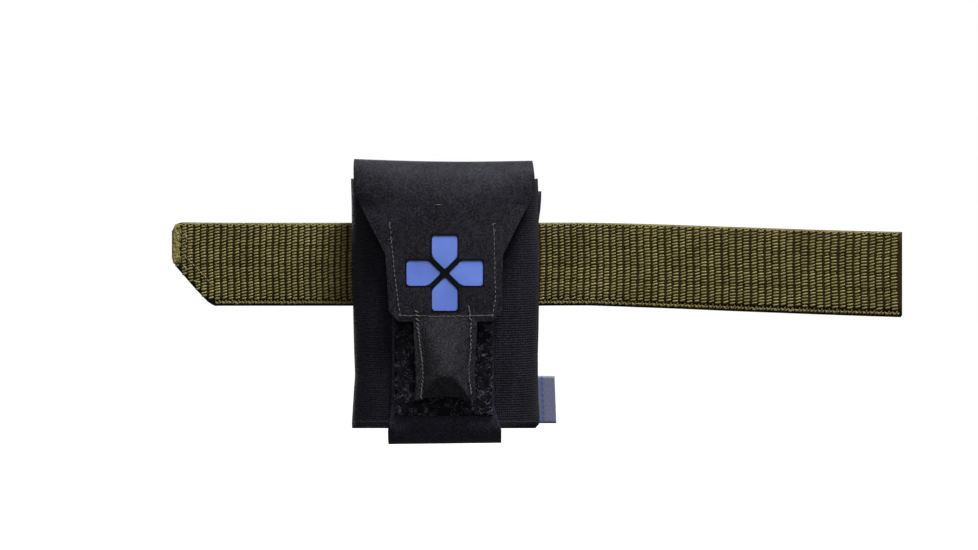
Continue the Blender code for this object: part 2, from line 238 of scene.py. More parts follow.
def laminate(name, dark=(0.0020, 0.0020, 0.0036), light=(0.0300, 0.0300, 0.0410), rim=None):
    """Laminated nylon: a tight plain weave under a matt film, each crossing lighter or darker than the
    next, with scuffed high spots. With rim, the place of the cross on the cloth map, the cut edges round the
    windows and the bars between them are coloured near black."""
    made = Surface(name, roughness=0.66, sheen=0.03, specular=0.10)
    across, along, _ = made.split(made.cloth())
    yarn = 0.54 * MM
    weave = made.math("MULTIPLY", made.wave(across, 2 * yarn), made.wave(along, 2 * yarn))
    grain = made.noise(made.cloth(), 1000, 2, 0.7)
    clump = made.noise(made.scaled(made.cloth(), (1, 0.6, 1)), 330, 2, 0.6)
    mottle = made.noise(made.place(), 55, 4, 0.6)
    tone = made.math("ADD", made.ramp(weave, -1, 1, -0.20, 0.20), made.ramp(grain, 0.36, 0.64, -0.12, 0.80))
    tone = made.math("ADD", tone, made.ramp(clump, 0.35, 0.65, -0.14, 0.14))
    tone = made.math("ADD", tone, made.ramp(mottle, 0.3, 0.7, -0.10, 0.16), clamp=True)
    shade = made.mix(tone, dark, light)
    if rim is not None:
        shade = made.mix(cross_mask(made, across, along, rim), shade, (0.0014, 0.0014, 0.0010))
    made.color(shade)
    made.feed(made.sockets["Roughness"], made.ramp(grain, 0.3, 0.7, 0.54, 0.76))
    made.bump(made.noise(made.place(), 220, 3), 0.25 * MM, 0.25)
    made.bump(weave, 0.08 * MM, 0.8)
    made.bump(grain, 0.08 * MM, 0.6)
    return made.done()


def cross_mask(made, across, along, centre):
    """One over the cross and a narrow rim round it, on the flap's cloth map."""
    u = made.math("ABSOLUTE", made.math("SUBTRACT", across, centre[0]))
    v = made.math("ABSOLUTE", made.math("SUBTRACT", along, centre[1]))

    def inside(value, reach):
        return made.ramp(value, reach - 0.10 * MM, reach + 0.35 * MM, 1, 0)

    wide, narrow = CROSS_REACH + CROSS_RIM, CROSS_ARM + CROSS_RIM
    upright = made.math("MULTIPLY", inside(u, narrow), inside(v, wide))
    level = made.math("MULTIPLY", inside(u, wide), inside(v, narrow))
    return made.math("MAXIMUM", upright, level)


def elastic(name):
    """Woven elastic: fine ribs along the stretch, crossed by finer yarns."""
    made = Surface(name, roughness=0.85, sheen=0.02, specular=0.08)
    across, along, _ = made.split(made.cloth())
    rib = made.wave(along, 1.25 * MM)
    cross = made.wave(across, 1.05 * MM)
    grid = made.math("ADD", made.math("MULTIPLY", rib, 0.55), made.math("MULTIPLY", cross, 0.45))
    grain = made.noise(made.cloth(), 1000, 2, 0.7)
    broad = made.noise(made.scaled(made.cloth(), (1, 0.15, 1)), 160, 3)
    tone = made.math("ADD", made.ramp(grid, -1, 1, -0.10, 0.52), made.ramp(grain, 0.36, 0.64, -0.14, 0.50))
    tone = made.math("ADD", tone, made.ramp(broad, 0.3, 0.7, -0.08, 0.14), clamp=True)
    made.color(made.mix(tone, (0.0016, 0.0016, 0.0030), (0.0262, 0.0262, 0.0365)))
    made.bump(grid, 0.14 * MM, 0.8)
    made.bump(grain, 0.06 * MM, 0.5)
    return made.done()


def webbing(name, dark, light):
    """Olive nylon yarn: fine filaments, faded in patches."""
    made = Surface(name, roughness=0.80, sheen=0.0, specular=0.12)
    place = made.place()
    patch = made.noise(place, 75, 3, 0.6)
    yarn = made.noise(place, 1700, 2, 0.6)
    tone = made.math("ADD", made.ramp(patch, 0.3, 0.7, 0.1, 0.5), made.ramp(yarn, 0.3, 0.7, 0.0, 0.5),
                     clamp=True)
    made.color(made.mix(tone, dark, light))
    made.bump(yarn, 0.08 * MM, 0.5)
    return made.done()


def plain_cloth(name, dark, light, scale=900, depth=0.1 * MM, roughness=0.9, sheen=0.2, specular=0.3):
    """A thread or cloth too fine for its weave to show: speckled, with a grain."""
    made = Surface(name, roughness=roughness, sheen=sheen, specular=specular)
    grain = made.noise(made.place(), scale, 3, 0.6)
    made.color(made.speckle(grain, dark, light))
    made.bump(grain, depth, 0.6)
    return made.done()


def crinkled(name, dark, light, metallic, roughness):
    """Thin packing film with fine creases."""
    made = Surface(name, roughness=roughness, metallic=metallic, specular=0.5)
    place = made.place()
    crease = made.noise(place, 130, 4, 0.65)
    fine = made.noise(place, 520, 3, 0.6)
    made.color(made.speckle(crease, dark, light, spread=0.15))
    made.bump(crease, 0.5 * MM, 0.5)
    made.bump(fine, 0.12 * MM, 0.4)
    return made.done()


def blue_backing(name):
    """Bright blue nylon, nearly smooth."""
    made = Surface(name, roughness=0.55, sheen=0.1, specular=0.3)
    across, along, _ = made.split(made.cloth())
    weave = made.math("MULTIPLY", made.wave(across, 0.5 * MM), made.wave(along, 0.5 * MM))
    made.color(made.speckle(made.noise(made.place(), 90, 2), (0.122, 0.212, 0.690), (0.150, 0.248, 0.760)))
    made.bump(weave, 0.02 * MM, 0.3)
    return made.done()


def ribbon(name):
    """Satin ribbon with a plain woven stripe near its sewn edge."""
    made = Surface(name, roughness=0.5, sheen=0.3, specular=0.4)
    across, along, _ = made.split(made.cloth())
    stripe = made.ramp(made.math("ABSOLUTE", made.math("SUBTRACT", across, -7.4 * MM)), 0.5 * MM, 0.9 * MM, 1,
                       0)
    broken = made.ramp(made.wave(along, 3.2 * MM), -0.7, -0.3, 0.25, 1)
    grain = made.noise(made.cloth(), 900, 2)
    ground = made.speckle(grain, (0.115, 0.125, 0.215), (0.165, 0.172, 0.270))
    made.color(made.mix(made.math("MULTIPLY", stripe, broken, clamp=True), ground, (0.060, 0.095, 0.300)))
    made.bump(made.wave(along, 0.45 * MM), 0.04 * MM, 0.6)
    return made.done()


LAMINATE = laminate("laminate_black")
# A lighter copy of the flap's laminate for the pull tab: painted light, its face brighter than the same cloth
# on the flap.
LAMINATE_TAB_LIT = laminate("laminate_tab_painted_light", (0.0030, 0.0030, 0.0045), (0.0400, 0.0400, 0.0480))
LAMINATE_STRAP = laminate("laminate_strap", (0.0070, 0.0070, 0.0120), (0.0340, 0.0344, 0.0520))
ELASTIC = elastic("elastic_black")
YARN = webbing("yarn_olive", (0.088, 0.072, 0.021), (0.335, 0.286, 0.117))
YARN_EDGE = webbing("yarn_edge", (0.110, 0.092, 0.024), (0.340, 0.296, 0.112))
# A near-black copy of the olive yarn for the webbing's core: painted shade in the gaps between the floats.
YARN_GAP_SHADE = webbing("yarn_gap_painted_shade", (0.012, 0.009, 0.001), (0.030, 0.023, 0.004))
LINER = plain_cloth("liner_black", (0.006, 0.006, 0.007), (0.016, 0.016, 0.017), depth=0.2 * MM)
PILE = plain_cloth("pile_black", (0.004, 0.004, 0.006), (0.112, 0.112, 0.142), scale=480, sheen=0.02,
                   specular=0.06)
PILE_BASE = plain_cloth("pile_base", (0.004, 0.004, 0.006), (0.011, 0.011, 0.015), sheen=0.0, specular=0.05)
HOOK = plain_cloth("hook_black", (0.006, 0.006, 0.007), (0.014, 0.014, 0.015), roughness=0.5)
BLUE = blue_backing("backing_blue")
RIBBON = ribbon("label_ribbon")
FOIL = crinkled("foil_silver", (0.42, 0.43, 0.45), (0.58, 0.59, 0.61), 0.9, 0.28)
WRAPPER = crinkled("wrapper_white", (0.46, 0.48, 0.48), (0.60, 0.62, 0.61), 0.0, 0.38)
FILM_TAN = crinkled("wrapper_tan", (0.26, 0.20, 0.12), (0.36, 0.29, 0.18), 0.0, 0.42)
GLOVE_FILM = crinkled("glove_film", (0.030, 0.055, 0.160), (0.050, 0.085, 0.230), 0.0, 0.30)
BLACK_STRAP = plain_cloth("strap_black", (0.008, 0.008, 0.009), (0.022, 0.022, 0.024), scale=1400,
                          depth=0.12 * MM)
THREAD = plain_cloth("thread_grey", (0.060, 0.060, 0.066), (0.190, 0.190, 0.200), scale=2500, depth=0.05 * MM)
THREAD_DARK = plain_cloth("thread_dark", (0.010, 0.010, 0.012), (0.040, 0.040, 0.044), scale=2500,
                          depth=0.05 * MM)
THREAD_OLIVE = plain_cloth("thread_olive", (0.180, 0.160, 0.085), (0.420, 0.385, 0.250), scale=2500)


# Mesh helpers

def mesh_piece(name, verts, faces, material, uvs=None, smooth=True):
    """A mesh object from arrays; uvs is one pair for each vertex, the piece's cloth map in metres."""
    mesh = bpy.data.meshes.new(name)
    mesh.from_pydata(np.asarray(verts, float).reshape(-1, 3).tolist(), [], [list(f) for f in faces])
    mesh.update()
    if uvs is not None:
        layer = mesh.uv_layers.new(name="cloth")
        corners = np.zeros(len(mesh.loops), np.int32)
        mesh.loops.foreach_get("vertex_index", corners)
        layer.data.foreach_set("uv", np.asarray(uvs, np.float32)[corners].ravel())
    mesh.materials.append(material)
    if smooth:
        mesh.shade_smooth()
    made = bpy.data.objects.new(name, mesh)
    bpy.context.scene.collection.objects.link(made)
    return made


def grid_faces(columns, rows, start=0, wrap=False):
    """Quads of a grid whose vertices run along the rows first."""
    faces = []
    wide = columns if wrap else columns - 1
    for r in range(rows - 1):
        for c in range(wide):
            a = start + r * columns + c
            b = start + r * columns + (c + 1) % columns
            faces.append((a, a + columns, b + columns, b))
    return faces


def grid(x, y, z):
    """A grid of points from coordinates that vary along its rows, along its columns, both or neither."""
    return np.stack(np.broadcast_arrays(x, y, z), axis=2)


def rolled(turn, power):
    """Round a softened box by an angle: across it, from -1 to 1, and out from its back, 0 to 1 and back."""
    across = -np.sign(np.cos(turn)) * np.abs(np.cos(turn)) ** power
    return across, np.abs(np.sin(turn)) ** power


def grid_uvs(points, level=None):
    """Lengths across and along a grid of points, in metres: across from its middle column, along from its
    first row or from the row given as level."""
    across = np.zeros(points.shape[:2])
    along = np.zeros(points.shape[:2])
    across[:, 1:] = np.cumsum(np.linalg.norm(np.diff(points, axis=1), axis=2), axis=1)
    across -= across[:, across.shape[1] // 2][:, None]
    along[1:, :] = np.cumsum(np.linalg.norm(np.diff(points, axis=0), axis=2), axis=0)
    if level is not None:
        along -= along[level][None, :]
    return np.stack([across, along], axis=2)


def sheet_piece(name, points, material, thickness, smooth_angle=50, level=None):
    """A sheet through a grid of points on its outer face, thickened inwards."""
    rows, columns = points.shape[:2]
    made = mesh_piece(name, points, grid_faces(columns, rows), material,
                      grid_uvs(points, level).reshape(-1, 2))
    wall = made.modifiers.new("thickness", "SOLIDIFY")
    wall.thickness = thickness
    wall.offset = -1.0
    wall.use_even_offset = False
    made.data.set_sharp_from_angle(angle=math.radians(smooth_angle))
    return made


def two_faced(name, front, back, material, smooth_angle):
    """A closed piece of two grids of points, joined round their rims."""
    rows, columns = front.shape[:2]
    count = rows * columns
    faces = grid_faces(columns, rows) + [tuple(reversed(f)) for f in grid_faces(columns, rows, start=count)]
    place = np.arange(count).reshape(rows, columns)
    rim = np.concatenate([place[0], place[1:, -1], place[-1, -2::-1], place[-2:0:-1, 0]]).tolist()
    faces += [(a, b, b + count, a + count) for a, b in zip(rim, rim[1:] + rim[:1])]
    uvs = np.concatenate([grid_uvs(front).reshape(-1, 2)] * 2)
    made = mesh_piece(name, np.concatenate([front.reshape(-1, 3), back.reshape(-1, 3)]), faces, material, uvs)
    made.data.set_sharp_from_angle(angle=math.radians(smooth_angle))
    return made


def settle(piece, body, slot, *nodes):
    """Rides a piece on a body and hides the CAD nodes it replaces. The slot is not used."""
    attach(piece, body)
    if nodes:
        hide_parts(*nodes)


def laid_sheet(name, points, material, thickness, held, rests_on, body, slot, *nodes):
    """A sheet of cloth on one body, made through its points and settled."""
    made = sheet_piece(name, points, material, thickness)
    declare_sheet(points)
    settle(made, body, slot, *nodes)


def panel_points(piece, rows):
    """The grid of points that a sheet was made through."""
    return np.array([v.co[:] for v in piece.data.vertices]).reshape(rows, -1, 3)


def declare_sheet(points):
    """Measures a sheet's lengths across and along its points; nothing is done with them."""
    uvs = grid_uvs(points)


def tube(points, radius, sides=6, taper=True):
    """Vertices and faces of a tube along points, pinched at its ends."""
    points = np.asarray(points, float)
    steps = np.gradient(points, axis=0)
    steps /= np.linalg.norm(steps, axis=1)[:, None] + 1e-12
    side = np.cross(steps, (0.31, 0.17, 0.93))
    side /= np.linalg.norm(side, axis=1)[:, None] + 1e-12
    up = np.cross(side, steps)
    turn = np.linspace(0, 2 * math.pi, sides, endpoint=False)
    radii = np.full(len(points), radius)
    if taper:
        radii[0] *= 0.35
        radii[-1] *= 0.35
    ring = np.cos(turn)[None, :, None] * side[:, None, :] + np.sin(turn)[None, :, None] * up[:, None, :]
    verts = points[:, None, :] + ring * radii[:, None, None]
    faces = grid_faces(sides, len(points), wrap=True)
    faces.append(tuple(range(sides - 1, -1, -1)))
    last = (len(points) - 1) * sides
    faces.append(tuple(range(last, last + sides)))
    return verts.reshape(-1, 3), faces


def joined(name, shapes, material):
    """One mesh object of many small shapes, each (verts, faces)."""
    verts, faces, start = [], [], 0
    for shape_verts, shape_faces in shapes:
        verts.append(shape_verts)
        faces += [tuple(i + start for i in face) for face in shape_faces]
        start += len(shape_verts)
    return mesh_piece(name, np.concatenate(verts), faces, material)


def along_line(corners, pitch):
    """Points every pitch along a broken line, with the direction there."""
    corners = [np.asarray(c, float) for c in corners]
    found, carry = [], 0.0
    for a, b in zip(corners, corners[1:]):
        length = np.linalg.norm(b - a)
        step = (b - a) / length
        at = carry
        while at < length:
            found.append((a + step * at, step))
            at += pitch
        carry = at - length
    return found


def stitches(name, corners, surface, material, pitch, length, radius, lean=0.0, wander=0.1, seed=1):
    """A row of stitches along a broken line in X and Z, lying on the surface y(x, z). The pitch, length and
    radius of a stitch are in millimetres."""
    chance = random.Random(seed)
    shapes = []
    for (x, z), (dx, dz) in along_line(corners, pitch * MM):
        angle = math.atan2(dz, dx) + lean + chance.uniform(-wander, wander)
        reach = length * MM / 2 * chance.uniform(0.85, 1.1)
        x += chance.uniform(-0.12, 0.12) * MM
        z += chance.uniform(-0.12, 0.12) * MM
        points = []
        for share in (-1, -0.6, 0, 0.6, 1):
            px = x + math.cos(angle) * reach * share
            pz = z + math.sin(angle) * reach * share
            lift = radius * MM * (0.9 - 1.5 * abs(share) ** 2.5)
            points.append((px, surface(px, pz) - lift, pz))
        shapes.append(tube(points, radius * MM))
    return joined(name, shapes, material)


# Belt

def belt_share(x):
    """How far x is along the belt's bent stretch, from 0 at its start to 1 at the belt's right end."""
    return np.maximum(0.0, (np.asarray(x, float) - BEND_START) / (BELT_RIGHT - BEND_START))


def belt_forward(x):
    """How far the belt has come forward at x, as in the CAD."""
    return BEND_FORWARD * belt_share(x) ** 1.8


def belt_drop(x):
    """How far the belt has dropped at x, as in the CAD."""
    swing = 0.75 * math.pi
    return BEND_DROP * (1 - np.cos(swing * belt_share(x))) / (1 - math.cos(swing))


def belt_edges(x):
    """The lower and upper edge at x, from the belt's centre line, with the rounded and cut tip."""
    from_tip = np.asarray(x, float) - BELT_LEFT
    upper = profile(from_tip, [0, 0.8, 2.0, 4.6, 30, 195, 220, 250, 300, 350, 390],
                    [17.7, 19.9, 21.4, 22.2, 21.95, 22.0, 22.2, 22.1, 21.8, 21.7, 21.8])
    lower = profile(from_tip, [0, 0.5, 1.5, 11.2, 19.0, 22.4, 24, 195, 225, 250, 300, 390],
                    [3.6, 1.3, -0.8, -12.0, -20.2, -22.1, -22.0, -22.0, -21.6, -22.0, -22.4, -22.3])
    return lower, upper


def belt_place(x, offset, z):
    """A point of the belt: x along it, offset in front of its webbing's face, z from its centre line."""
    x = np.asarray(x, float)
    return np.stack([x, BELT_FRONT - belt_forward(x) - offset, z - belt_drop(x)], axis=-1)


def rib_pitch(x):
    """The ribs lie closer together beside the pouch and stretch out towards the right end."""
    return profile(x, [-147, -120, -75, 60, 100, 240], [3.62, 3.58, 3.32, 3.36, 3.72, 3.84])


def belt_columns():
    """Places along the belt for a flat layer's columns, closer together at the left tip."""
    tip = BELT_LEFT + mm(0, 0.3, 0.8, 1.5, 2.4, 3.4, 4.6)
    return np.concatenate([tip, np.arange(tip[-1] + 2 * MM, BELT_RIGHT - 1 * MM, 2 * MM), [BELT_RIGHT]])


def belt_sheet(name, outer, thickness, material, grow=0.0, rows=9):
    """One flat layer of the belt, its front face outer in front of the webbing's CAD face."""
    xs = belt_columns()
    lower, upper = belt_edges(xs)
    share = np.linspace(1, 0, rows)[:, None]
    z = (lower - grow) * (1 - share) + (upper + grow * 0.2) * share
    x = np.broadcast_to(xs, z.shape).copy()
    x[:, 0] -= grow
    return sheet_piece(name, belt_place(x, outer, z), material, thickness)


def float_patch(centre, half_length, half_height, rise, tilt, steps=(7, 4)):
    """A short yarn float: a low bump of rounded outline on the webbing's face."""
    s = np.linspace(-1, 1, steps[0])[None, :]
    t = np.linspace(1, -1, steps[1])[:, None]
    narrow = np.sqrt(np.maximum(0.0, 1 - np.abs(s) ** 3))
    x = half_length * s + 0 * t
    z = half_height * t * (0.35 + 0.65 * narrow) + math.tan(tilt) * x
    height = rise * np.sqrt(np.maximum(0.0, 1 - t ** 2)) * (0.25 + 0.75 * narrow) + 0 * s
    cx, cz = centre
    return belt_place(cx + x, height - 0.12 * MM, cz + z).reshape(-1, 3), grid_faces(steps[0], steps[1])


SELVAGE_LOW = 2.7 * MM
SELVAGE_HIGH = 1.5 * MM
EDGE_SLACK = 1.1 * MM
CHANNELS = (0.42, -0.02, -0.40)


def build_belt():
    """The webbing: ribs of short yarn floats, in pairs, on a core painted dark as their shade, with looped
    selvages and a liner.
    """
    chance = random.Random(4)
    yarns = 25
    yarn_pitch = (2 * BELT_HALF - SELVAGE_LOW - SELVAGE_HIGH) / yarns
    floats, edges = [], []
    x, rib = BELT_LEFT + 2.6 * MM, 0
    while x < BELT_RIGHT - 1.2 * MM:
        pitch = float(rib_pitch(x)) * (1 + chance.uniform(-0.015, 0.015))
        paired = rib % 2
        lean, reach = (0.27, 0.365) if paired else (0.16, 0.405)
        nudge = 0.10 * MM if paired else -0.10 * MM
        for j in range(yarns):
            z = -BELT_HALF + SELVAGE_LOW + yarn_pitch * (j + 0.5 + 0.30 * paired)
            x_here = x + nudge + chance.uniform(-0.09, 0.09) * MM + 0.25 * MM * math.sin(z * 140 + x * 20)
            z += chance.uniform(-0.09, 0.09) * MM
            lower, upper = belt_edges(x_here)
            bottom = lower + (0.9 if lower < -BELT_HALF + EDGE_SLACK else 0.45) * MM
            if not bottom < z < min(upper - 0.7 * MM, BELT_HALF - SELVAGE_HIGH + 0.2 * MM):
                continue
            channel = min(abs(z / BELT_HALF - c) for c in CHANNELS) < 0.03
            size = chance.uniform(0.90, 1.06) * (0.86 if channel else 1.0)
            floats.append(float_patch(
                (x_here, z), pitch * reach * min(size, 1.0), yarn_pitch * 0.42 * size,
                (0.62 if channel else 0.78) * MM * chance.uniform(0.85, 1.12),
                lean + chance.uniform(-0.07, 0.07)))
        edges += rib_ends(x, pitch, chance)
        x += pitch
        rib += 1
    weave = joined("webbing_yarns", floats, YARN)
    selvage = joined("webbing_selvages", edges, YARN_EDGE)
    # The core shows only between the floats, coloured near black as painted shade.
    core = belt_sheet("webbing_core", -0.15 * MM, 2.1 * MM, YARN_GAP_SHADE)
    liner = belt_sheet("belt_lining", -2.7 * MM, 1.2 * MM, LINER, grow=0.75 * MM)
    tip = build_tip(chance)
    for piece in (weave, selvage, core, liner, *tip):
        settle(piece, "belt", "liner" if piece is liner else "webbing")
    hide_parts("belt_webbing")
    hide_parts("belt_liner")
    declare_sheet(panel_points(core, 9))
    declare_sheet(panel_points(liner, 9))


def rib_ends(x, pitch, chance):
    """The loops in which one rib's yarns turn round the lower and upper edge."""
    found = []
    lower, upper = belt_edges(x)
    wide = 0.27 * pitch * chance.uniform(0.92, 1.08)
    cx = x + chance.uniform(-0.1, 0.1) * MM
    turn = np.linspace(0, math.pi, 9)
    if upper > BELT_HALF - EDGE_SLACK:
        arch = belt_place(cx + wide * 1.15 * np.cos(turn), 0.30 * MM - 0.35 * MM * np.sin(turn),
                          upper - 1.5 * MM + 1.05 * MM * np.sin(turn))
        found.append(tube(arch, 0.40 * MM * chance.uniform(0.9, 1.1), sides=6))
        link = belt_place(cx + pitch * (0.25 + 0.5 * np.linspace(0, 1, 5)), np.full(5, -0.1 * MM),
                          np.full(5, upper - 0.6 * MM))
        found.append(tube(link, 0.34 * MM, sides=6))
    if lower < -BELT_HALF + EDGE_SLACK:
        drop = chance.uniform(1.5, 2.0) * MM
        bowl = belt_place(cx - wide * 1.1 * np.cos(turn) + 0.25 * MM * np.sin(turn),
                          0.42 * MM - 0.45 * MM * np.sin(turn),
                          lower + 2.5 * MM - drop * np.sin(turn) - 0.35 * MM * np.cos(turn))
        found.append(tube(bowl, 0.46 * MM * chance.uniform(0.88, 1.1), sides=6))
        for shift in (-0.12, 0.45):
            strand = [belt_place(cx + pitch * shift + 0.55 * MM * k, (0.25 - 0.25 * k * k) * MM,
                                 lower + (1.0 + 0.55 * k) * MM)
                      for k in (-1, -0.5, 0, 0.5, 1)]
            found.append(tube(np.array(strand), 0.36 * MM * chance.uniform(0.85, 1.15), sides=6))
    return found


def tip_line(inset, count):
    """Points at a distance inside the belt's cut left end, from its upper edge round to its lower edge."""
    line = mm((2.2, 21.0), (0.9, 19.4), (0.25, 17.4), (0.1, 10.0), (0.0, 3.6), (0.7, 0.4), (2.2, -1.6),
              (19.6, -20.2), (21.8, -21.6))
    line[:, 0] += BELT_LEFT
    run = np.concatenate([[0], np.cumsum(np.linalg.norm(np.diff(line, axis=0), axis=1))])
    at = np.linspace(0, run[-1], count)
    points = np.stack([np.interp(at, run, line[:, 0]), np.interp(at, run, line[:, 1])], axis=1)
    step = np.gradient(points, axis=0)
    step /= np.linalg.norm(step, axis=1)[:, None]
    return points + np.stack([-step[:, 1], step[:, 0]], axis=1) * inset


def belt_thread(start, end, lifts, radius, sides=6):
    """A thread between two places on the belt's face, with its lift off the webbing at even steps."""
    share = np.linspace(0, 1, len(lifts))
    return tube(belt_place(start[0] + (end[0] - start[0]) * share, lifts,
                           start[1] + (end[1] - start[1]) * share),
                radius, sides)


def build_tip(chance):
    """The belt's cut end: a sealed rim with frayed filaments, and the seam that holds webbing and liner."""
    outer, inner = tip_line(0.5 * MM, 150), tip_line(3.2 * MM, 150)
    upright = outer[:, 1] > 0.4 * MM
    outer, inner = outer[upright], inner[upright]
    at = np.arange(len(outer))
    width = np.clip((outer[:, 1] + 0.5 * MM) / (4 * MM), 0.3, 1) * np.clip((21 * MM - outer[:, 1]) / (4 * MM),
                                                                           0.4, 1)
    width *= 1 + 0.12 * np.sin(at * 1.3) + 0.08 * np.sin(at * 0.6)
    rows = []
    for share in np.linspace(0, 1, 16):
        line = outer + (inner - outer) * (share * width)[:, None]
        dome = 0.55 * MM * math.sqrt(max(0.0, 1 - (2 * share - 1) ** 4)) - 0.15 * MM
        wave = 0.24 * np.sin(at * 0.83 + share * 5) * np.sin(share * 14 + at * 0.47)
        wave += 0.10 * np.sin(at * 2.3 + share * 21)
        rows.append(belt_place(line[:, 0], dome + wave * MM, line[:, 1]))
    rim = sheet_piece("webbing_tip_rim", np.stack(rows, axis=1)[::-1], YARN_EDGE, 0.8 * MM)
    strands = []
    for _ in range(150):
        i = chance.randrange(2, len(outer) - 2)
        share = chance.uniform(0.1, 1.3)
        at = outer[i] * (1 - share) + inner[i] * share
        angle = chance.uniform(-0.9, 0.9) + (math.pi / 2 if chance.random() < 0.45 else 0)
        half = chance.uniform(0.7, 1.7) * MM * np.array([math.cos(angle), math.sin(angle)])
        lifts = mm(0.50, 0.8375, 0.95, 0.8375, 0.50)
        strands.append(belt_thread(at - half, at + half, lifts, chance.uniform(0.12, 0.20) * MM, sides=4))
    filaments = joined("webbing_tip_filaments", strands, YARN_EDGE)
    seam = []
    line = tip_line(7.4 * MM, 400)
    line = line[(line[:, 1] < 17 * MM) & (line[:, 1] > -13 * MM)]
    for at in range(0, len(line) - 14, 22):
        wobble = np.array([chance.uniform(-0.35, 0.35) * MM, 0])
        lifts = 0.84 * MM - 0.45 * MM * np.abs(np.linspace(-1, 1, 5)) ** 3
        seam.append(belt_thread(line[at] + wobble, line[at + 12] + wobble, lifts, 0.23 * MM))
    for x0, z0, x1, z1 in mm((-135.5, -9.2, -132.3, -10.0), (-141.0, -0.6, -138.6, -3.4),
                             (-139.9, 15.6, -139.0, 13.2)):
        lifts = 0.55 * MM + 0.33 * MM * np.sin(np.linspace(0, math.pi, 7))
        seam.append(belt_thread((x0, z0), (x1, z1), lifts, 0.24 * MM))
    return [rim, filaments, joined("webbing_tip_seam", seam, THREAD_OLIVE)]


# Sleeve and back

SLEEVE_TURN = 4.5


def sleeve_edges(z):
    """Left and right side of the sleeve at height z: drawn in at its waist, spread at its lower corners."""
    heights = [-88.4, -86.4, -84, -76, -68, -60, -47, -35, -20, 0, 20, 32, 38, 45]
    left = profile(z, heights, [-49.3, -49.5, -49.4, -48.9, -48.4, -47.8, -48.3, -48.6, -48.9, -49.2, -49.5,
                                -49.6,
                                -49.8, -50.0])
    right = profile(z, heights, [48.6, 50.4, 50.9, 50.3, 50.1, 49.9, 49.85, 49.95, 50.35, 50.4, 50.0, 49.9,
                                 50.1,
                                 49.8])
    return left, right


def sleeve_y(x, z=0.0):
    """The sleeve's outer front face: flat in the middle and rolled back to the side seams."""
    left, right = sleeve_edges(z)
    share = np.clip(np.abs(2 * (x - left) / (right - left) - 1), 0, 1)
    return SLEEVE_BACK - (SLEEVE_BACK - SLEEVE_FRONT) * (1 - share ** SLEEVE_TURN) ** (1 / SLEEVE_TURN)


def sleeve_points(rows=70, columns=150, top=None, bottom=None, proud=0.0):
    """Grid of the sleeve's outer face, from its left seam round the front to the right seam."""
    top = SLEEVE_TOP if top is None else top
    bottom = SLEEVE_BOTTOM - 1.2 * MM if bottom is None else bottom
    across, out = rolled(np.linspace(0, math.pi, columns)[None, :], 2 / SLEEVE_TURN)
    z = np.linspace(top, bottom, rows)[:, None]
    left, right = sleeve_edges(z)
    x = (left + right) / 2 + (right - left) / 2 * across
    depth = SLEEVE_BACK - SLEEVE_FRONT + proud
    ripple = 0.18 * MM * np.sin(z * 170 + x * 60) + 0.12 * MM * np.sin(x * 240 - z * 45)
    y = SLEEVE_BACK - depth * out + ripple * out
    level = (z - SLEEVE_BOTTOM) / (SLEEVE_TOP - SLEEVE_BOTTOM)
    lift = 2.2 * MM * out * (1 - level) + (0.9 - 1.7 * out) * MM * np.clip(level * 4 - 3, 0, 1)
    return grid(x, y, z + lift)


def build_sleeve():
    """The elastic sleeve, with its doubled hem and the hem's seams beside the strap."""
    points = sleeve_points()
    sleeve = sheet_piece("sleeve_cloth", points, ELASTIC, 1.1 * MM)
    hem_points = sleeve_points(rows=6, top=SLEEVE_BOTTOM + 2.3 * MM, bottom=SLEEVE_BOTTOM - 1.3 * MM,
                               proud=0.35 * MM)
    hem = sheet_piece("sleeve_hem", hem_points, ELASTIC, 1.7 * MM)
    settle(sleeve, "carrier", "elastic", "elastic_sleeve")
    settle(hem, "carrier", "elastic")
    seam_z = SLEEVE_BOTTOM + 4.4 * MM
    for name, x0, x1 in (("hem_seam_left", -46.5 * MM, -29 * MM), ("hem_seam_right", 31.5 * MM, 48 * MM)):
        seam = stitches(name, [(x0, seam_z), (x1, seam_z)], lambda x, z: sleeve_y(x, z) - 0.3 * MM,
                        THREAD_DARK,
                        pitch=1.5, length=1.0, radius=0.16, lean=0.9, seed=11)
        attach(seam, "carrier")
    build_back_panel()
    declare_sheet(points)


def build_back_panel():
    """The back panel: laminate that shows past the sleeve's right side at its upper corner."""
    lo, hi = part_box("back_panel")
    z = np.linspace(hi.z, lo.z, 40)[:, None]
    heights = [-87.2, -84, -70, -60, -50, -35, -15, 23, 30, 38.3, 39]
    left = profile(z, heights, [-47.9, -48.7, -48.2, -47.6, -48.1, -48.8, -49.5, -49.8, -49.8, -49.9, -49.0])
    right = profile(z, heights, [48.7, 50.4, 50.1, 49.9, 50.0, 50.4, 50.7, 50.5, 51.5, 52.0, 51.9])
    points = grid(left + (right - left) * np.linspace(0, 1, 40)[None, :], lo.y, z)
    laid_sheet("back_panel_cloth", points, LAMINATE_STRAP, 0.6 * MM, "stretched", "belt_tunnel_cloth",
               "carrier", "laminate", "back_panel")


# Flap

def flap_half_widths(z):
    """Left and right edge of the flap at height z on the front."""
    heights = [-30.3, -29.0, -24.8, 3.9, 5.5, 32.5, 36.0, 38.4, 45, 50, 60]
    return (profile(z, heights, [-23.1, -24.4, -28.3, -30.1, -30.6, -44.6, -46.2, -46.9, -47.2, -47.4,
                                 -47.5]),
            profile(z, heights, [25.3, 26.6, 30.5, 31.0, 31.5, 45.2, 46.9, 47.7, 47.7, 47.2, 46.0]))


CROWN_CENTRE = (-26 * MM, 27 * MM)
CROWN_TURN = 2.3


def crown_y(z):
    """The front of the crown that the flap makes over the top of the pouch, at height z."""
    rise = np.clip((z - CROWN_CENTRE[1]) / (FOLD_TOP - CROWN_CENTRE[1]), 0, 1)
    return CROWN_CENTRE[0] + (FLAP_FRONT - CROWN_CENTRE[0]) * (1 - rise ** CROWN_TURN) ** (1 / CROWN_TURN)


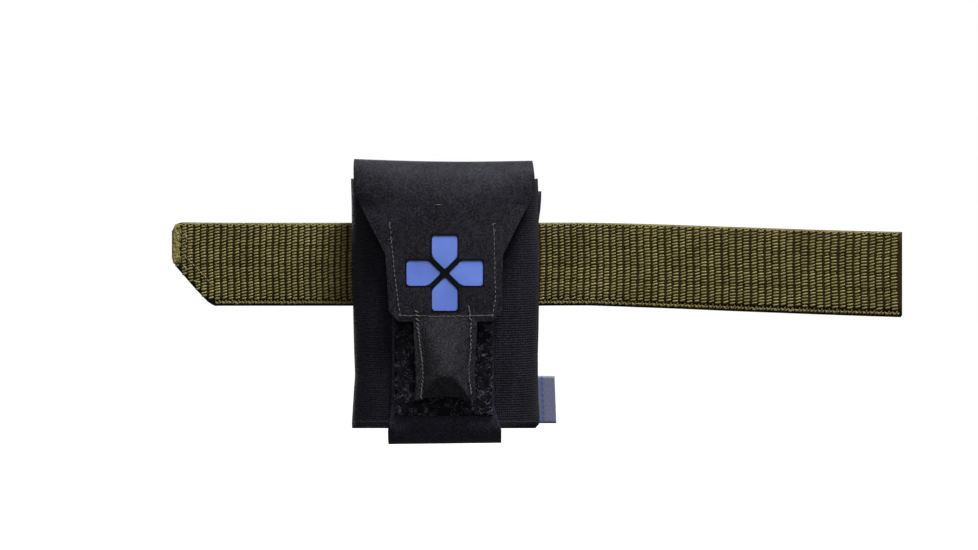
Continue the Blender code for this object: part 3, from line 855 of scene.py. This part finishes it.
def flap_bow(x, z):
    """How far the flap's sides fall back from its middle."""
    bow = profile(z, [-80, -5, 4, 14, 30, 44, 56], [1.2, 1.4, 2.4, 5.0, 8.5, 5.0, 1.0])
    return bow * (np.abs(np.asarray(x, float)) / (47 * MM)) ** 3.6


def flap_wrinkle(x, z):
    """Shallow unevenness of the laminate."""
    x, z = np.asarray(x, float), np.asarray(z, float)
    dimples = np.sin(x * 210 + z * 90) * np.sin(z * 130 - x * 40)
    return 0.16 * MM * dimples + 0.10 * MM * np.sin(x * 95 - z * 260)


def flap_y(x, z):
    """The flap's front face on the pouch's front."""
    return crown_y(z) + flap_bow(x, z) + flap_wrinkle(x, z)


def crest_sag(x):
    """The crest dips in the middle and falls a little to the right."""
    x = x / (47 * MM)
    return (-0.95 * np.cos(np.clip(x, -1, 1) * math.pi / 2) - 0.45 * x - 0.35) * MM


def flap_points(columns=110):
    """Grid of the flap's outer face, from its sewn edge on the back over the crest to the lower edge."""
    back_z = np.linspace(40 * MM, 47 * MM, 5)
    crown = np.linspace(0, math.pi / 2, 16)
    behind_y = CROWN_CENTRE[0] + (BOARD_BACK - CROWN_CENTRE[0]) * np.cos(crown) ** 0.7
    behind_z = 47 * MM + (FOLD_TOP - 47 * MM) * np.sin(crown) ** 0.9
    ahead = np.linspace(0, 1, 44)[1:] ** 1.6
    ahead_z = FOLD_TOP - (FOLD_TOP - CROWN_CENTRE[1]) * ahead
    down_z = np.linspace(CROWN_CENTRE[1], FLAP_BOTTOM, 70)[1:]
    zs = np.concatenate([back_z, behind_z[1:], ahead_z, down_z])
    ys = np.concatenate([np.full(5, BOARD_BACK), behind_y[1:], crown_y(ahead_z), crown_y(down_z)])
    is_front = np.arange(len(zs)) >= 20
    left, right = flap_half_widths(zs)
    left = np.where(is_front, left, -47.3 * MM)
    right = np.where(is_front, right, 46.0 * MM)
    u = np.linspace(0, 1, columns)[None, :]
    x = left[:, None] * (1 - u) + right[:, None] * u
    z = np.broadcast_to(zs[:, None], x.shape).copy()
    y = np.broadcast_to(ys[:, None], x.shape).copy()
    y += np.where(is_front[:, None], flap_bow(x, z) + flap_wrinkle(x, z), flap_wrinkle(x, z))
    high_share = np.clip((z - 36 * MM) / (FOLD_TOP - 36 * MM), 0, 1)
    z += crest_sag(x) * high_share ** 1.5
    return grid(x, y, z)


def rounded_outline(corners, radius, steps=5):
    """A closed outline with each corner turned by an arc."""
    outline = []
    count = len(corners)
    for i in range(count):
        here = Vector(corners[i])
        back = (Vector(corners[i - 1]) - here).normalized()
        on = (Vector(corners[(i + 1) % count]) - here).normalized()
        half_angle = back.angle(on) / 2
        reach = radius / math.tan(half_angle)
        centre = here + (back + on).normalized() * radius / math.sin(half_angle)
        start, end = here + back * reach - centre, here + on * reach - centre
        turn = start.angle(end)
        for k in range(steps + 1):
            t = k / steps
            on_arc = math.sin((1 - t) * turn) * start + math.sin(t * turn) * end
            outline.append(centre + on_arc / math.sin(turn))
    return outline


def window_outlines():
    """The four windows' outlines in X and Z: one arm of the cross, pointed inwards, at each quarter turn."""
    tip = CROSS_BAR / math.sqrt(2)
    arm = [(-CROSS_ARM, CROSS_REACH), (-CROSS_ARM, tip + CROSS_ARM), (0, tip), (CROSS_ARM, tip + CROSS_ARM),
           (CROSS_ARM, CROSS_REACH)]
    outline = rounded_outline(arm, CROSS_CORNER)
    found = []
    for quarter in range(4):
        turn = quarter * math.pi / 2
        c, s = math.cos(turn), math.sin(turn)
        found.append([(CROSS[0] + (p.x * c - p.y * s) * CROSS_WIDEN[0],
                       CROSS[1] + (p.x * s + p.y * c) * CROSS_WIDEN[1])
                      for p in outline])
    return found


def row_at(points, z):
    """The row that crosses height z on the front of a grid."""
    middle = points[:, points.shape[1] // 2]
    return int(np.argmin(np.abs(middle[:, 2] - z) + np.where(middle[:, 1] < FLAP_FRONT + 6 * MM, 0, 1)))


def cut_windows(flap):
    """Cuts the four windows of the cross out of the flap's cloth."""
    for number, outline in enumerate(window_outlines()):
        count = len(outline)
        verts = [(x, y, z) for y in (FLAP_FRONT - 6 * MM, FLAP_FRONT + 8 * MM) for x, z in outline]
        faces = [tuple(range(count)), tuple(range(2 * count - 1, count - 1, -1))]
        faces += [(i, i + count, (i + 1) % count + count, (i + 1) % count) for i in range(count)]
        cutter = mesh_piece(f"window_cutter_{number}", verts, faces, LAMINATE, smooth=False)
        form = bmesh.new()
        form.from_mesh(cutter.data)
        bmesh.ops.recalc_face_normals(form, faces=form.faces[:])
        form.to_mesh(cutter.data)
        form.free()
        cut = flap.modifiers.new(f"window_{number}", "BOOLEAN")
        cut.object = cutter
        cut.operation = "DIFFERENCE"
    apply_modifiers(flap)
    for number in range(4):
        bpy.data.objects.remove(bpy.data.objects[f"window_cutter_{number}"], do_unlink=True)
    flap.data.set_sharp_from_angle(angle=math.radians(40))


def apply_modifiers(piece):
    """Leaves the piece with the mesh that its modifiers make, and none of them."""
    graph = bpy.context.evaluated_depsgraph_get()
    graph.update()
    final = bpy.data.meshes.new_from_object(piece.evaluated_get(graph), depsgraph=graph)
    final.name = piece.name
    piece.modifiers.clear()
    piece.data = final


def window_bulge(x, z):
    """How far the backing presses forward into the windows of the cross."""
    u = np.abs(x - CROSS[0]) / CROSS_WIDEN[0]
    v = np.abs(z - CROSS[1]) / CROSS_WIDEN[1]

    def rounded(a, b):
        corner = CROSS_CORNER - np.hypot(np.maximum(CROSS_CORNER - a, 0), np.maximum(CROSS_CORNER - b, 0))
        return np.where((a < CROSS_CORNER) & (b < CROSS_CORNER), corner, np.minimum(a, b))

    inside = np.maximum(rounded(CROSS_ARM - u, CROSS_REACH - v), rounded(CROSS_ARM - v, CROSS_REACH - u))
    inside = rounded(inside, (np.abs(u - v) - CROSS_BAR / math.sqrt(2)) / math.sqrt(2))
    share = np.clip((inside + 0.45 * MM) / (0.45 * MM), 0, 1)
    return 0.72 * MM * share * share * (3 - 2 * share)


def inner_panel(name, lefts, rights, heights, offset, material, thickness, rows=30, columns=30, bulge=None):
    """A panel under the flap that follows the flap's face at a depth behind it. Its edges are listed from the
    top down, in millimetres."""
    z = np.linspace(heights[0] * MM, heights[-1] * MM, rows)[:, None]
    left, right = (profile(z, heights[::-1], edge[::-1]) for edge in (lefts, rights))
    x = left + (right - left) * np.linspace(0, 1, columns)[None, :]
    z = np.broadcast_to(z, x.shape)
    y = flap_y(x, z) + offset - (0 if bulge is None else bulge(x, z))
    return sheet_piece(name, grid(x, y, z), material, thickness)


def build_flap():
    """The flap with its windows, the blue backing that bulges into them, the lining and the stitches."""
    points = flap_points()
    level = row_at(points, CROSS[1])
    middle = points[level, points.shape[1] // 2]
    material = laminate("laminate_flap", rim=(float(CROSS[0] - middle[0]), float(middle[2] - CROSS[1])))
    flap = sheet_piece("flap_cloth", points, material, 0.9 * MM, level=level)
    cut_windows(flap)
    declare_sheet(points)
    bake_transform(flap)
    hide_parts("flap_shell")
    build_board()
    backing = inner_panel("cross_backing_cloth", [-25, -25], [26, 26], [19, -27.5], 1.0 * MM, BLUE, 0.3 * MM,
                          rows=130, columns=140, bulge=window_bulge)
    lining = inner_panel("flap_lining_cloth", [-27.6, -27, -22.5], [27.2, 27.4, 25], [21.5, -20, -28],
                         1.5 * MM,
                         LAMINATE, 0.5 * MM)
    for piece, rows in ((backing, 130), (lining, 30)):
        declare_sheet(panel_points(piece, rows))
    settle(backing, "flap", "blue_backing", "cross_backing")
    settle(lining, "flap", "laminate", "flap_lining")
    for piece in flap_stitches():
        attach(piece, "flap")


def flap_stitches():
    """The U of stitches that holds the lining, its lower run over the tab, and loose thread ends."""
    down = mm((-27.8, 20.8), (-27.2, 12), (-23.9, -18.4), (-22.4, -27.3))
    below = mm((-22.4, -27.1), (-3, -27.5), (14, -27.4), (25.4, -26.9))
    up = mm((25.4, -27.3), (27.1, -18), (26.4, 14), (25.9, 20.6))
    left = stitches("flap_seam", down, flap_y, THREAD, pitch=2.5, length=1.9, radius=0.19, seed=3)
    lower = stitches("flap_seam_lower", below, lambda x, z: tab_face(x, z) - 0.05 * MM, THREAD, pitch=2.5,
                     length=2.5, radius=0.17, wander=0.05, seed=31)
    right = stitches("flap_seam_right", up, flap_y, THREAD, pitch=2.5, length=1.9, radius=0.19, seed=33)
    ends = []
    for x, z, tilt in ((-28.0, 20.2, 1.3), (-27.6, 12.6, 0.4), (-27.0, 11.4, 1.2), (26.2, 20.4, 0.3),
                       (26.7, 16.6, 1.1)):
        dx, dz = math.cos(tilt) * 1.3, math.sin(tilt) * 1.3
        ends.append((x - dx, z - dz, x + dx, z + dz))
    ends.append((-4.6, 30.2, -1.2, 30.5))
    shapes = []
    for x0, z0, x1, z1 in mm(*ends):
        y = flap_y(x0, z0) - 0.15 * MM
        points = [(x0 + (x1 - x0) * s, y, z0 + (z1 - z0) * s) for s in np.linspace(0, 1, 5)]
        shapes.append(tube(points, 0.17 * MM))
    return left, lower, right, joined("flap_seam_ends", shapes, THREAD)


def build_board():
    """The insert's board: stiff laminate down the back of the pocket, its top sewn inside the flap."""
    lo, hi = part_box("insert_board")
    z = np.linspace(49 * MM, lo.z, 60)[:, None]
    x = lo.x + (hi.x - lo.x) * np.linspace(0, 1, 40)[None, :]
    corner = np.clip((lo.z + 6 * MM - z) / (6 * MM), 0, 1)
    x = x * (1 - 0.12 * corner ** 2)
    y = hi.y - 1.3 * MM + 0.3 * MM * np.sin(z * 60) * np.cos(x * 40)
    laid_sheet("insert_board_cloth", grid(x, y, z), LAMINATE, 1.0 * MM, "hung", "flap_cloth",
               "insert", "laminate", "insert_board")


# Pull tab

TAB_CENTRE = 1.0 * MM
TAB_START = TAB_TOP + 4 * MM
TAB_PEAK = 0.72
TAB_RISE = 9.6 * MM
TAB_FLAT = 0.76


def tab_half_width(v):
    """Half the tab's width at v, from 0 at its sewn top to 1 at its lower edge."""
    return np.interp(v, [0, 0.25, 0.7, 0.85, 1.0], mm(16.5, 16.3, 15.2, 15.4, 15.9))


def tab_puff(u, v):
    """How far the tab's face stands out at u across and v down: a filled tube between flat sewn edges that
    swells downwards to a rounded peak, with a sloping end below it."""
    across = np.clip((np.sqrt(u ** 2 + 0.0025) - 0.05) / (TAB_FLAT - 0.05), 0, 1)
    upper = np.clip(v / TAB_PEAK, 0, 1.4)
    bow = 2.5 - 1.0 * np.clip(upper, 0, 1)
    tube_rise = upper ** 1.12 * (1 - across ** bow)
    end_rise = np.clip(1 - v, 0, 1) / (1 - TAB_PEAK) * (1 - 0.25 * across)
    soft = 0.24 * np.sqrt(tube_rise * end_rise)
    rise = 0.5 * (tube_rise + end_rise - np.sqrt((tube_rise - end_rise) ** 2 + soft ** 2))
    return TAB_RISE * np.clip(rise, 0, None)


def tab_face(x, z):
    """The tab's front face at x and z, for the pieces that lie on it."""
    v = np.clip((TAB_START - z) / (TAB_START - TAB_BOTTOM), 0, 1)
    u = (x - TAB_CENTRE) / tab_half_width(v)
    return FLAP_FRONT - 0.4 * MM - tab_puff(u, v)


def build_tab():
    """The padded pull tab: its puffed face, its flat back, and stitches down both sides."""
    rows, columns = 90, 72
    v = np.linspace(0, 1, rows)[:, None]
    u = np.linspace(-1, 1, columns)[None, :]
    z = TAB_START - (TAB_START - TAB_BOTTOM) * v + 0 * u
    arch = 1.3 * MM * np.clip(1 - (u / 0.8) ** 2, 0, 1) * np.clip((v - 0.9) / 0.1, 0, 1)
    tips = 0.7 * MM * np.clip((np.abs(u) - 0.75) / 0.25, 0, 1) * np.clip((v - 0.95) / 0.05, 0, 1)
    x = TAB_CENTRE + tab_half_width(v) * u
    crease = 0.22 * MM * np.sin(x * 330 + z * 60) * np.sin(z * 210 - x * 90) * np.clip(v * 4, 0, 1)
    y = FLAP_FRONT - 0.4 * MM - tab_puff(u, v + 0 * u) + crease * (1 - u ** 4)
    front = grid(x, y, z + arch - tips)
    back = front.copy()
    back[:, :, 1] = FLAP_FRONT + 0.7 * MM
    # The tab's cloth is the lighter copy of the laminate: painted light.
    face = two_faced("pull_tab_cloth", front, back, LAMINATE_TAB_LIT, 50)
    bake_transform(face)
    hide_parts("pull_tab_skin", "pull_tab_core")
    left = [*mm((-13.4, -32), (-12.6, -39), (-11.2, -50), (-10.4, -58)), (-11.6 * MM, TAB_BOTTOM + 0.9 * MM)]
    right = [*mm((14.2, -32), (14.0, -48), (12.9, -54), (13.6, -62)), (14.7 * MM, TAB_BOTTOM + 1.8 * MM)]
    for name, line, lean, seed in (("tab_seam_left", left, 0.35, 5), ("tab_seam_right", right, -0.25, 6)):
        seam = stitches(name, line, tab_face, THREAD, pitch=2.1, length=2.3, radius=0.27, lean=lean,
                        wander=0.25,
                        seed=seed)
        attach(seam, "pull_tab")
    upper_left = mm((-13.9, -25.0), (-13.3, -31))
    upper_right = mm((13.4, -22.9), (14.2, -31))
    for name, line, seed in (("tab_tack_left", upper_left, 15), ("tab_tack_right", upper_right, 16)):
        tack = stitches(name, line, lambda x, z: tab_face(x, z) - 0.1 * MM, THREAD, pitch=2.1, length=2.3,
                        radius=0.25, lean=0.4, wander=0.5, seed=seed)
        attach(tack, "flap")


# Closing strap

def strap_points():
    """Grid of the strap's outer face, from its top on the front, down, under the pouch and up the back."""
    back_y = high("strap_base").y
    sewn_top = high("strap_base").z
    bottom = STRAP_BOTTOM + 0.7 * MM
    front_y = TONGUE_FRONT
    turn = np.linspace(0, math.pi / 2, 14)
    lower, behind = 11 * MM, 6 * MM
    path = [(front_y, z) for z in np.linspace(high("strap_tongue").z, bottom + lower, 60)]
    path += [(front_y + lower * 0.9 * (1 - math.cos(a)),
              bottom + lower - lower * math.sin(a)) for a in turn[1:]]
    path += [(y, bottom) for y in np.linspace(front_y + lower * 0.9, back_y - behind, 8)[1:]]
    path += [(back_y - behind + behind * math.sin(a),
              bottom + behind - behind * math.cos(a)) for a in turn[1:]]
    path += [(back_y, z) for z in np.linspace(bottom + behind, sewn_top, 12)[1:]]
    path = np.array(path)
    on_front = np.arange(len(path)) < 72
    heights = [-95.7, -87.4, -86.0, -74.9, -74, -4]
    left = np.where(on_front, profile(path[:, 1], heights, [-29.2, -29.2, -29.0, -27.3, -27.2, -26.9]),
                    -29.2 * MM)
    right = np.where(on_front, profile(path[:, 1], heights, [30.2, 30.2, 29.9, 26.3, 26.1, 26.0]), 30.2 * MM)
    u = np.linspace(0, 1, 44)[None, :]
    x = left[:, None] * (1 - u) + right[:, None] * u
    z = path[:, 1:] + 0.012 * x * np.clip((-84 * MM - path[:, 1:]) / (8 * MM), 0, 1)
    return grid(x, path[:, :1], z)


def build_strap():
    """The closing strap, which bends at its fold under the pouch, and its loop field."""
    points = strap_points()
    strap = sheet_piece("strap_cloth", points, LAMINATE_STRAP, 1.0 * MM)
    declare_sheet(points)
    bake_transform(strap)
    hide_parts("strap_base", "strap_tongue")
    build_pile()


def build_pile():
    """The loop field: a dark ground with a thick growth of small curled loops."""
    lo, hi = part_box("loop_field")
    x = np.linspace(lo.x, hi.x, 60)[None, :]
    z = np.linspace(hi.z, lo.z, 80)[:, None]
    ground = 0.5 * MM + 0.3 * MM * np.sin(x * 900) * np.sin(z * 800)
    edge = np.minimum(np.minimum(x - lo.x, hi.x - x), np.minimum(z - lo.z, hi.z - z))
    y = hi.y - np.clip(edge / (1 * MM), 0, 1) * (0.8 * MM + ground)
    base = sheet_piece("loop_ground", grid(x, y, z), PILE_BASE, 0.3 * MM)
    chance = random.Random(8)
    clumps = [(chance.uniform(lo.x, hi.x), chance.uniform(lo.z, hi.z),
               chance.uniform(0.6, 1.5)) for _ in range(640)]
    loops = []
    for cx, cz, bulk in clumps:
        spin = chance.uniform(0, math.pi)
        for _ in range(9):
            px, pz = cx + chance.gauss(0, 0.85) * MM, cz + chance.gauss(0, 0.85) * MM
            if not (lo.x < px < hi.x and lo.z < pz < hi.z):
                continue
            size = chance.uniform(0.36, 0.80) * MM * bulk ** 0.5
            turn, lean = spin + chance.uniform(-0.7, 0.7), chance.uniform(-1.0, 1.0)
            points = []
            for a in np.linspace(-0.4, math.pi + 0.4, 5):
                flat = size * math.cos(a)
                tall = size * bulk * 0.75 * math.sin(a)
                sway = tall * math.sin(lean)
                points.append((
                    px + flat * math.cos(turn) - sway * math.sin(turn),
                    lo.y + 0.75 * MM - tall * math.cos(lean) * 0.95,
                    pz + flat * math.sin(turn) + sway * math.cos(turn)))
            loops.append(tube(points, 0.18 * MM, sides=3, taper=False))
    pile = joined("loop_pile", loops, PILE)
    settle(base, "strap", "loop", "loop_field")
    settle(pile, "strap", "loop")
    declare_sheet(panel_points(base, 80))


# Label

def build_label():
    """The ribbon label: a loop of ribbon folded flat, its ends in the pouch's side seam."""
    lo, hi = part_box("label_tag")
    fold = hi.x - 0.7 * MM
    turn = np.linspace(-math.pi / 2, math.pi / 2, 9)
    front_y, back_y = lo.y - 0.5 * MM, hi.y + 0.3 * MM
    radius = (back_y - front_y) / 2
    run = np.linspace(lo.x, fold - radius, 16)
    x = np.concatenate([run, fold - radius + radius * np.cos(turn)[1:-1], run[::-1]])
    y = np.concatenate([np.full(16, front_y), front_y + radius + radius * np.sin(turn)[1:-1],
                        np.full(16, back_y)])
    z = np.linspace(hi.z, lo.z - 1.0 * MM, 20)[:, None]
    skew = 0.9 * MM * (hi.z - z) / (hi.z - lo.z) * np.clip((x - 49 * MM) / (10 * MM), 0, 1)
    laid_sheet("label_ribbon_loop", grid(x + skew, y, z), RIBBON, 0.2 * MM, "folded", "back_panel_cloth",
               "carrier", "ribbon", "label_tag")


# Belt tunnel

def build_tunnel():
    """The tunnel on the wearer's side: a band of laminate sewn to the back panel above and below the belt."""
    lo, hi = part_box("belt_tunnel")
    reach = mm(34, 31.5, 30, 28.6, 27.2, 25.6, 24)
    depth = mm(-4.9, -4.8, -4.2, -2.9, -1.4, -0.35, 0.0)
    flat = np.linspace(24, -24, 30)[1:-1] * MM
    z = np.concatenate([reach, flat, -reach[::-1]])[:, None]
    y = np.concatenate([depth, np.zeros(len(flat)), depth[::-1]])[:, None]
    x = np.linspace(hi.x, lo.x, 40)[None, :]
    pucker = 0.25 * MM * np.sin(x * 260) * (np.abs(z) > 25 * MM)
    laid_sheet("belt_tunnel_cloth", grid(x, y - np.abs(pucker), z), LAMINATE, 1.1 * MM, "stretched",
               "back_panel_cloth", "carrier", "laminate", "belt_tunnel")
    for side, sign in (("upper", 1), ("lower", -1)):
        for row in (0, 1):
            level = sign * (33.0 - 1.9 * row) * MM
            line = [(-33.5 * MM, level), (33.5 * MM, level)]
            seam = stitches(f"tunnel_seam_{side}_{row}", line, lambda x, z: -4.55 * MM, THREAD_DARK,
                            pitch=2.5,
                            length=1.9, radius=0.22, seed=21 + row)
            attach(seam, "carrier")


# Insert's contents

def packet(name, node, slot, material, crimp, puff=0.85, wrinkle=0.35 * MM, seed=1):
    """A sealed packet: flat crimped edges with a notched rim round a puffed and wrinkled middle."""
    lo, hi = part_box(node)
    centre, half = (lo + hi) / 2, (hi - lo) / 2
    v = np.linspace(1, -1, 56)[:, None]
    u = np.linspace(-1, 1, 64)[None, :]
    edge = np.minimum(half.x * (1 - np.abs(u)), half.z * (1 - np.abs(v)))
    inner_u = np.clip(np.abs(u) * half.x / (half.x - crimp), 0, 1)
    inner_v = np.clip(np.abs(v) * half.z / (half.z - crimp), 0, 1)
    swell = ((1 - inner_u ** 3) * (1 - inner_v ** 3)) ** 0.45
    x, z = half.x * u + 0 * v, half.z * v + 0 * u
    fold = np.sin(x * 190 + z * 90 + seed) * np.sin(z * 230 - x * 140 + 2 * seed)
    fold += 0.6 * np.sin(x * 420 - z * 310 + seed)
    teeth = 0.6 * MM * (np.abs(((x + z) / (2.2 * MM)) % 1 - 0.5) * 2 - 0.5) * (edge < 1e-6)
    face = half.y * puff * swell + wrinkle * fold * np.clip(swell * 2, 0, 1)
    crimps = 0.16 * MM * np.sin(2 * math.pi * np.where(edge / crimp < 1, edge / (1.1 * MM), 0))
    x += teeth * (np.abs(u) == 1) * -np.sign(u)
    z += teeth * (np.abs(v) == 1) * -np.sign(v)
    faces = [np.clip(face + 0.2 * MM + side * crimps, 0.1 * MM, half.y - 0.05 * MM) for side in (1, -1)]
    front = grid(centre.x + x, centre.y - faces[0], centre.z + z)
    back = grid(centre.x + x, centre.y + faces[1], centre.z + z)
    made = two_faced(name, front, back, material, 60)
    settle(made, "insert", slot, node)


def build_band(name, node, seed):
    """A stretch band across the contents, sewn to the board at its two sides."""
    lo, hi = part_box(node)
    across, out = rolled(np.linspace(0, math.pi, 90)[None, :], 1 / 3)
    z = np.linspace(hi.z, lo.z, 30)[:, None]
    sag = 0.6 * MM * np.sin(z * 150 + seed)
    x = (hi.x - 0.2 * MM) * across
    y = hi.y + (lo.y - hi.y) * out + (0.25 * sag + 0.10 * MM * np.sin(x * 130)) * out
    laid_sheet(name, grid(x, y, z), ELASTIC, 0.9 * MM, "stretched", "insert_board_cloth",
               "insert", "stretch_band", node)


def build_roll():
    """A strap folded back and forth into a flat stack, with a keeper band round it."""
    lo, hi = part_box("tourniquet_roll")
    layers = 7
    gap = (hi.y - lo.y - 3.2 * MM) / (layers - 1)
    path = []
    for i in range(layers):
        y = hi.y - 1.6 * MM - i * gap
        run = np.linspace(lo.x + 3 * MM, hi.x - 3 * MM, 24)
        path += [(x, y + 0.15 * MM * math.sin(x * 200 + i)) for x in (run if i % 2 == 0 else run[::-1])]
        if i < layers - 1:
            end = 1 if i % 2 == 0 else -1
            edge = hi.x - 3 * MM if end > 0 else lo.x + 3 * MM
            path += [(edge + end * gap * 0.9 * math.sin(a), y - gap / 2 + gap / 2 * math.cos(a))
                     for a in np.linspace(0, math.pi, 9)[1:-1]]
    path = np.array(path)
    z = np.linspace(hi.z - 1.0 * MM, lo.z + 1.0 * MM, 14)[:, None]
    points = grid(path[:, 0] + 0.3 * MM * np.sin(z * 90), path[:, 1], z)
    roll = mesh_piece("tourniquet_folds", points, grid_faces(len(path), 14), BLACK_STRAP,
                      grid_uvs(points).reshape(-1, 2))
    wall = roll.modifiers.new("thickness", "SOLIDIFY")
    wall.thickness = 1.3 * MM
    wall.offset = 0
    settle(roll, "insert", "webbing", "tourniquet_roll")
    declare_sheet(points)
    turn = np.linspace(0, 2 * math.pi, 60)
    half_z, half_y = (hi.z - lo.z) / 2 - 0.3 * MM, (hi.y - lo.y) / 2 - 0.3 * MM
    ring_z = (hi.z + lo.z) / 2 + half_z * np.sign(np.cos(turn)) * np.abs(np.cos(turn)) ** 0.4
    ring_y = (hi.y + lo.y) / 2 - half_y * np.sign(np.sin(turn)) * np.abs(np.sin(turn)) ** 0.4
    x = np.linspace(-9 * MM, 9 * MM, 12)[None, :]
    laid_sheet("tourniquet_keeper", grid(x, ring_y[:, None], ring_z[:, None]), ELASTIC, 0.6 * MM, "folded",
               "tourniquet_folds", "insert", "stretch_band")


def build_contents():
    """The supplies that the insert carries, and the two stretch bands that hold them."""
    packet("chest_seal_wrap", "chest_seal_packet", "foil", FOIL, crimp=7 * MM, puff=0.8, wrinkle=0.10 * MM,
           seed=2)
    packet("gauze_wrap", "haemostatic_gauze", "wrapper", WRAPPER, crimp=5 * MM, seed=5)
    packet("bandage_wrap", "pressure_bandage", "wrapper", FILM_TAN, crimp=5 * MM, seed=8)
    packet("glove_wrap", "glove_packet", "glove_film", GLOVE_FILM, crimp=4 * MM, wrinkle=0.2 * MM, seed=11)
    build_band("insert_band_lower", "lower_band", 1)
    build_band("insert_band_upper", "upper_band", 2)
    build_roll()


# Hook panel

HOOK_PITCH = 1.25 * MM
HOOK_BEHIND = 2.7 * MM


def build_hooks():
    """The hook tape under the flap: a woven ground with rows of small bent hooks."""
    lo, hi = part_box("flap_hook_panel")
    rows = 14
    z = np.linspace(hi.z, lo.z, rows)[:, None]
    x = np.linspace(hi.x, lo.x, 30)[None, :]
    ground = sheet_piece("hook_ground", grid(x, flap_y(x, z) + HOOK_BEHIND, z), HOOK, 0.3 * MM)
    shapes = []
    for i, hx in enumerate(np.arange(lo.x + 0.8 * MM, hi.x - 0.6 * MM, HOOK_PITCH)):
        for j, hz in enumerate(np.arange(lo.z + 0.8 * MM, hi.z - 0.6 * MM, HOOK_PITCH)):
            face = float(flap_y(hx, hz)) + HOOK_BEHIND
            turn = 1 if (i + j) % 2 else -1
            bend = ((0, 0), (0, 0.42), (0.22, 0.62), (0.38, 0.44))
            shapes.append(tube([(hx + turn * side * MM, face + back * MM, hz) for side, back in bend],
                               0.10 * MM,
                               sides=4, taper=False))
    hooks = joined("hook_rows", shapes, HOOK)
    settle(ground, "flap", "hook", "flap_hook_panel")
    settle(hooks, "flap", "hook")
    declare_sheet(panel_points(ground, rows))


# Stage

def area_light(name, place, target, size, power):
    """A round soft light that faces its target."""
    data = bpy.data.lights.new(name, "AREA")
    data.shape = "DISK"
    data.size = size
    data.energy = power
    light = bpy.data.objects.new(name, data)
    light.location = place
    light.rotation_euler = (Vector(target) - Vector(place)).to_track_quat("-Z", "Y").to_euler()
    bpy.context.scene.collection.objects.link(light)


def build_world():
    """A soft studio: bright from above, dim from the sides and below, and plain white to the camera."""
    world = bpy.data.worlds.new("studio")
    made = Nodes(world)
    white = (1, 1, 1, 1)
    _, _, rise = made.split(made.add("TexCoord", "Generated", {}))
    lit = made.add("Background", 0, {"Color": white, "Strength": made.ramp(rise, -0.3, 1.0, 0.02, 0.50)})
    made.show("World Output", lit, made.add("Background", 0, {"Color": white, "Strength": 1.0}))
    bpy.context.scene.world = world
    bpy.context.scene.view_settings.view_transform = "Standard"


def floor_material():
    """Pale paper. It lights the object only a little from below."""
    material = bpy.data.materials.new("floor_pale")
    made = Nodes(material)
    made.tree.nodes.remove(made.tree.nodes["Principled BSDF"])
    grain = made.add("TexNoise", "Fac", {"Scale": 3})
    paper = made.add("BsdfDiffuse", 0, {"Color": made.mix(grain, (0.78, 0.78, 0.78), (0.82, 0.82, 0.82))})
    glow = made.add("Emission", 0, {"Strength": 0.72})
    dim = made.add("BsdfDiffuse", 0, {"Color": (0.10, 0.10, 0.10, 1)})
    made.show("Material Output", dim, made.add("AddShader", 0, {0: paper, 1: glow}))
    return material


FLOOR_DROP = 120 * MM
FLOOR_REACH = 8.0


def build_stage():
    """The studio's walls of light, a pale floor under the object, and a key, a fill and a back light."""
    build_world()
    height = cad_box[0].z - FLOOR_DROP
    corners = [(x * FLOOR_REACH, y * FLOOR_REACH, height) for x, y in ((-1, -1), (1, -1), (1, 1), (-1, 1))]
    mesh_piece("floor", corners, [(0, 1, 2, 3)], floor_material(), smooth=False)
    area_light("key", (0.27, -0.37, 1.15), (0, 0, 0), 0.5, 30)
    area_light("fill", (0.05, -1.35, 0.55), (0, 0, 0), 0.9, 2.0)
    area_light("back", (-0.5, 1.1, 0.30), (0, 0, -0.02), 0.8, 16)


CAMERA_DISTANCE = 1.1
FRAME_CENTRE = (23.7 * MM, -6.1 * MM)
METRES_PER_PIXEL = 0.539 * MM
FRAME_WIDTH = 978


def build_camera():
    """A level camera straight in front of the frame's centre."""
    data = bpy.data.cameras.new("camera")
    data.sensor_width = 36
    data.lens = 36 * CAMERA_DISTANCE / (METRES_PER_PIXEL * FRAME_WIDTH)
    camera = bpy.data.objects.new("camera", data)
    camera.location = (FRAME_CENTRE[0], BELT_FRONT - CAMERA_DISTANCE, FRAME_CENTRE[1])
    camera.rotation_euler = (math.pi / 2, 0, 0)
    bpy.context.scene.collection.objects.link(camera)
    bpy.context.scene.camera = camera


build_camera()
build_stage()
build_belt()
build_sleeve()
build_strap()
build_flap()
build_hooks()
build_tab()
build_label()
build_tunnel()
build_contents()
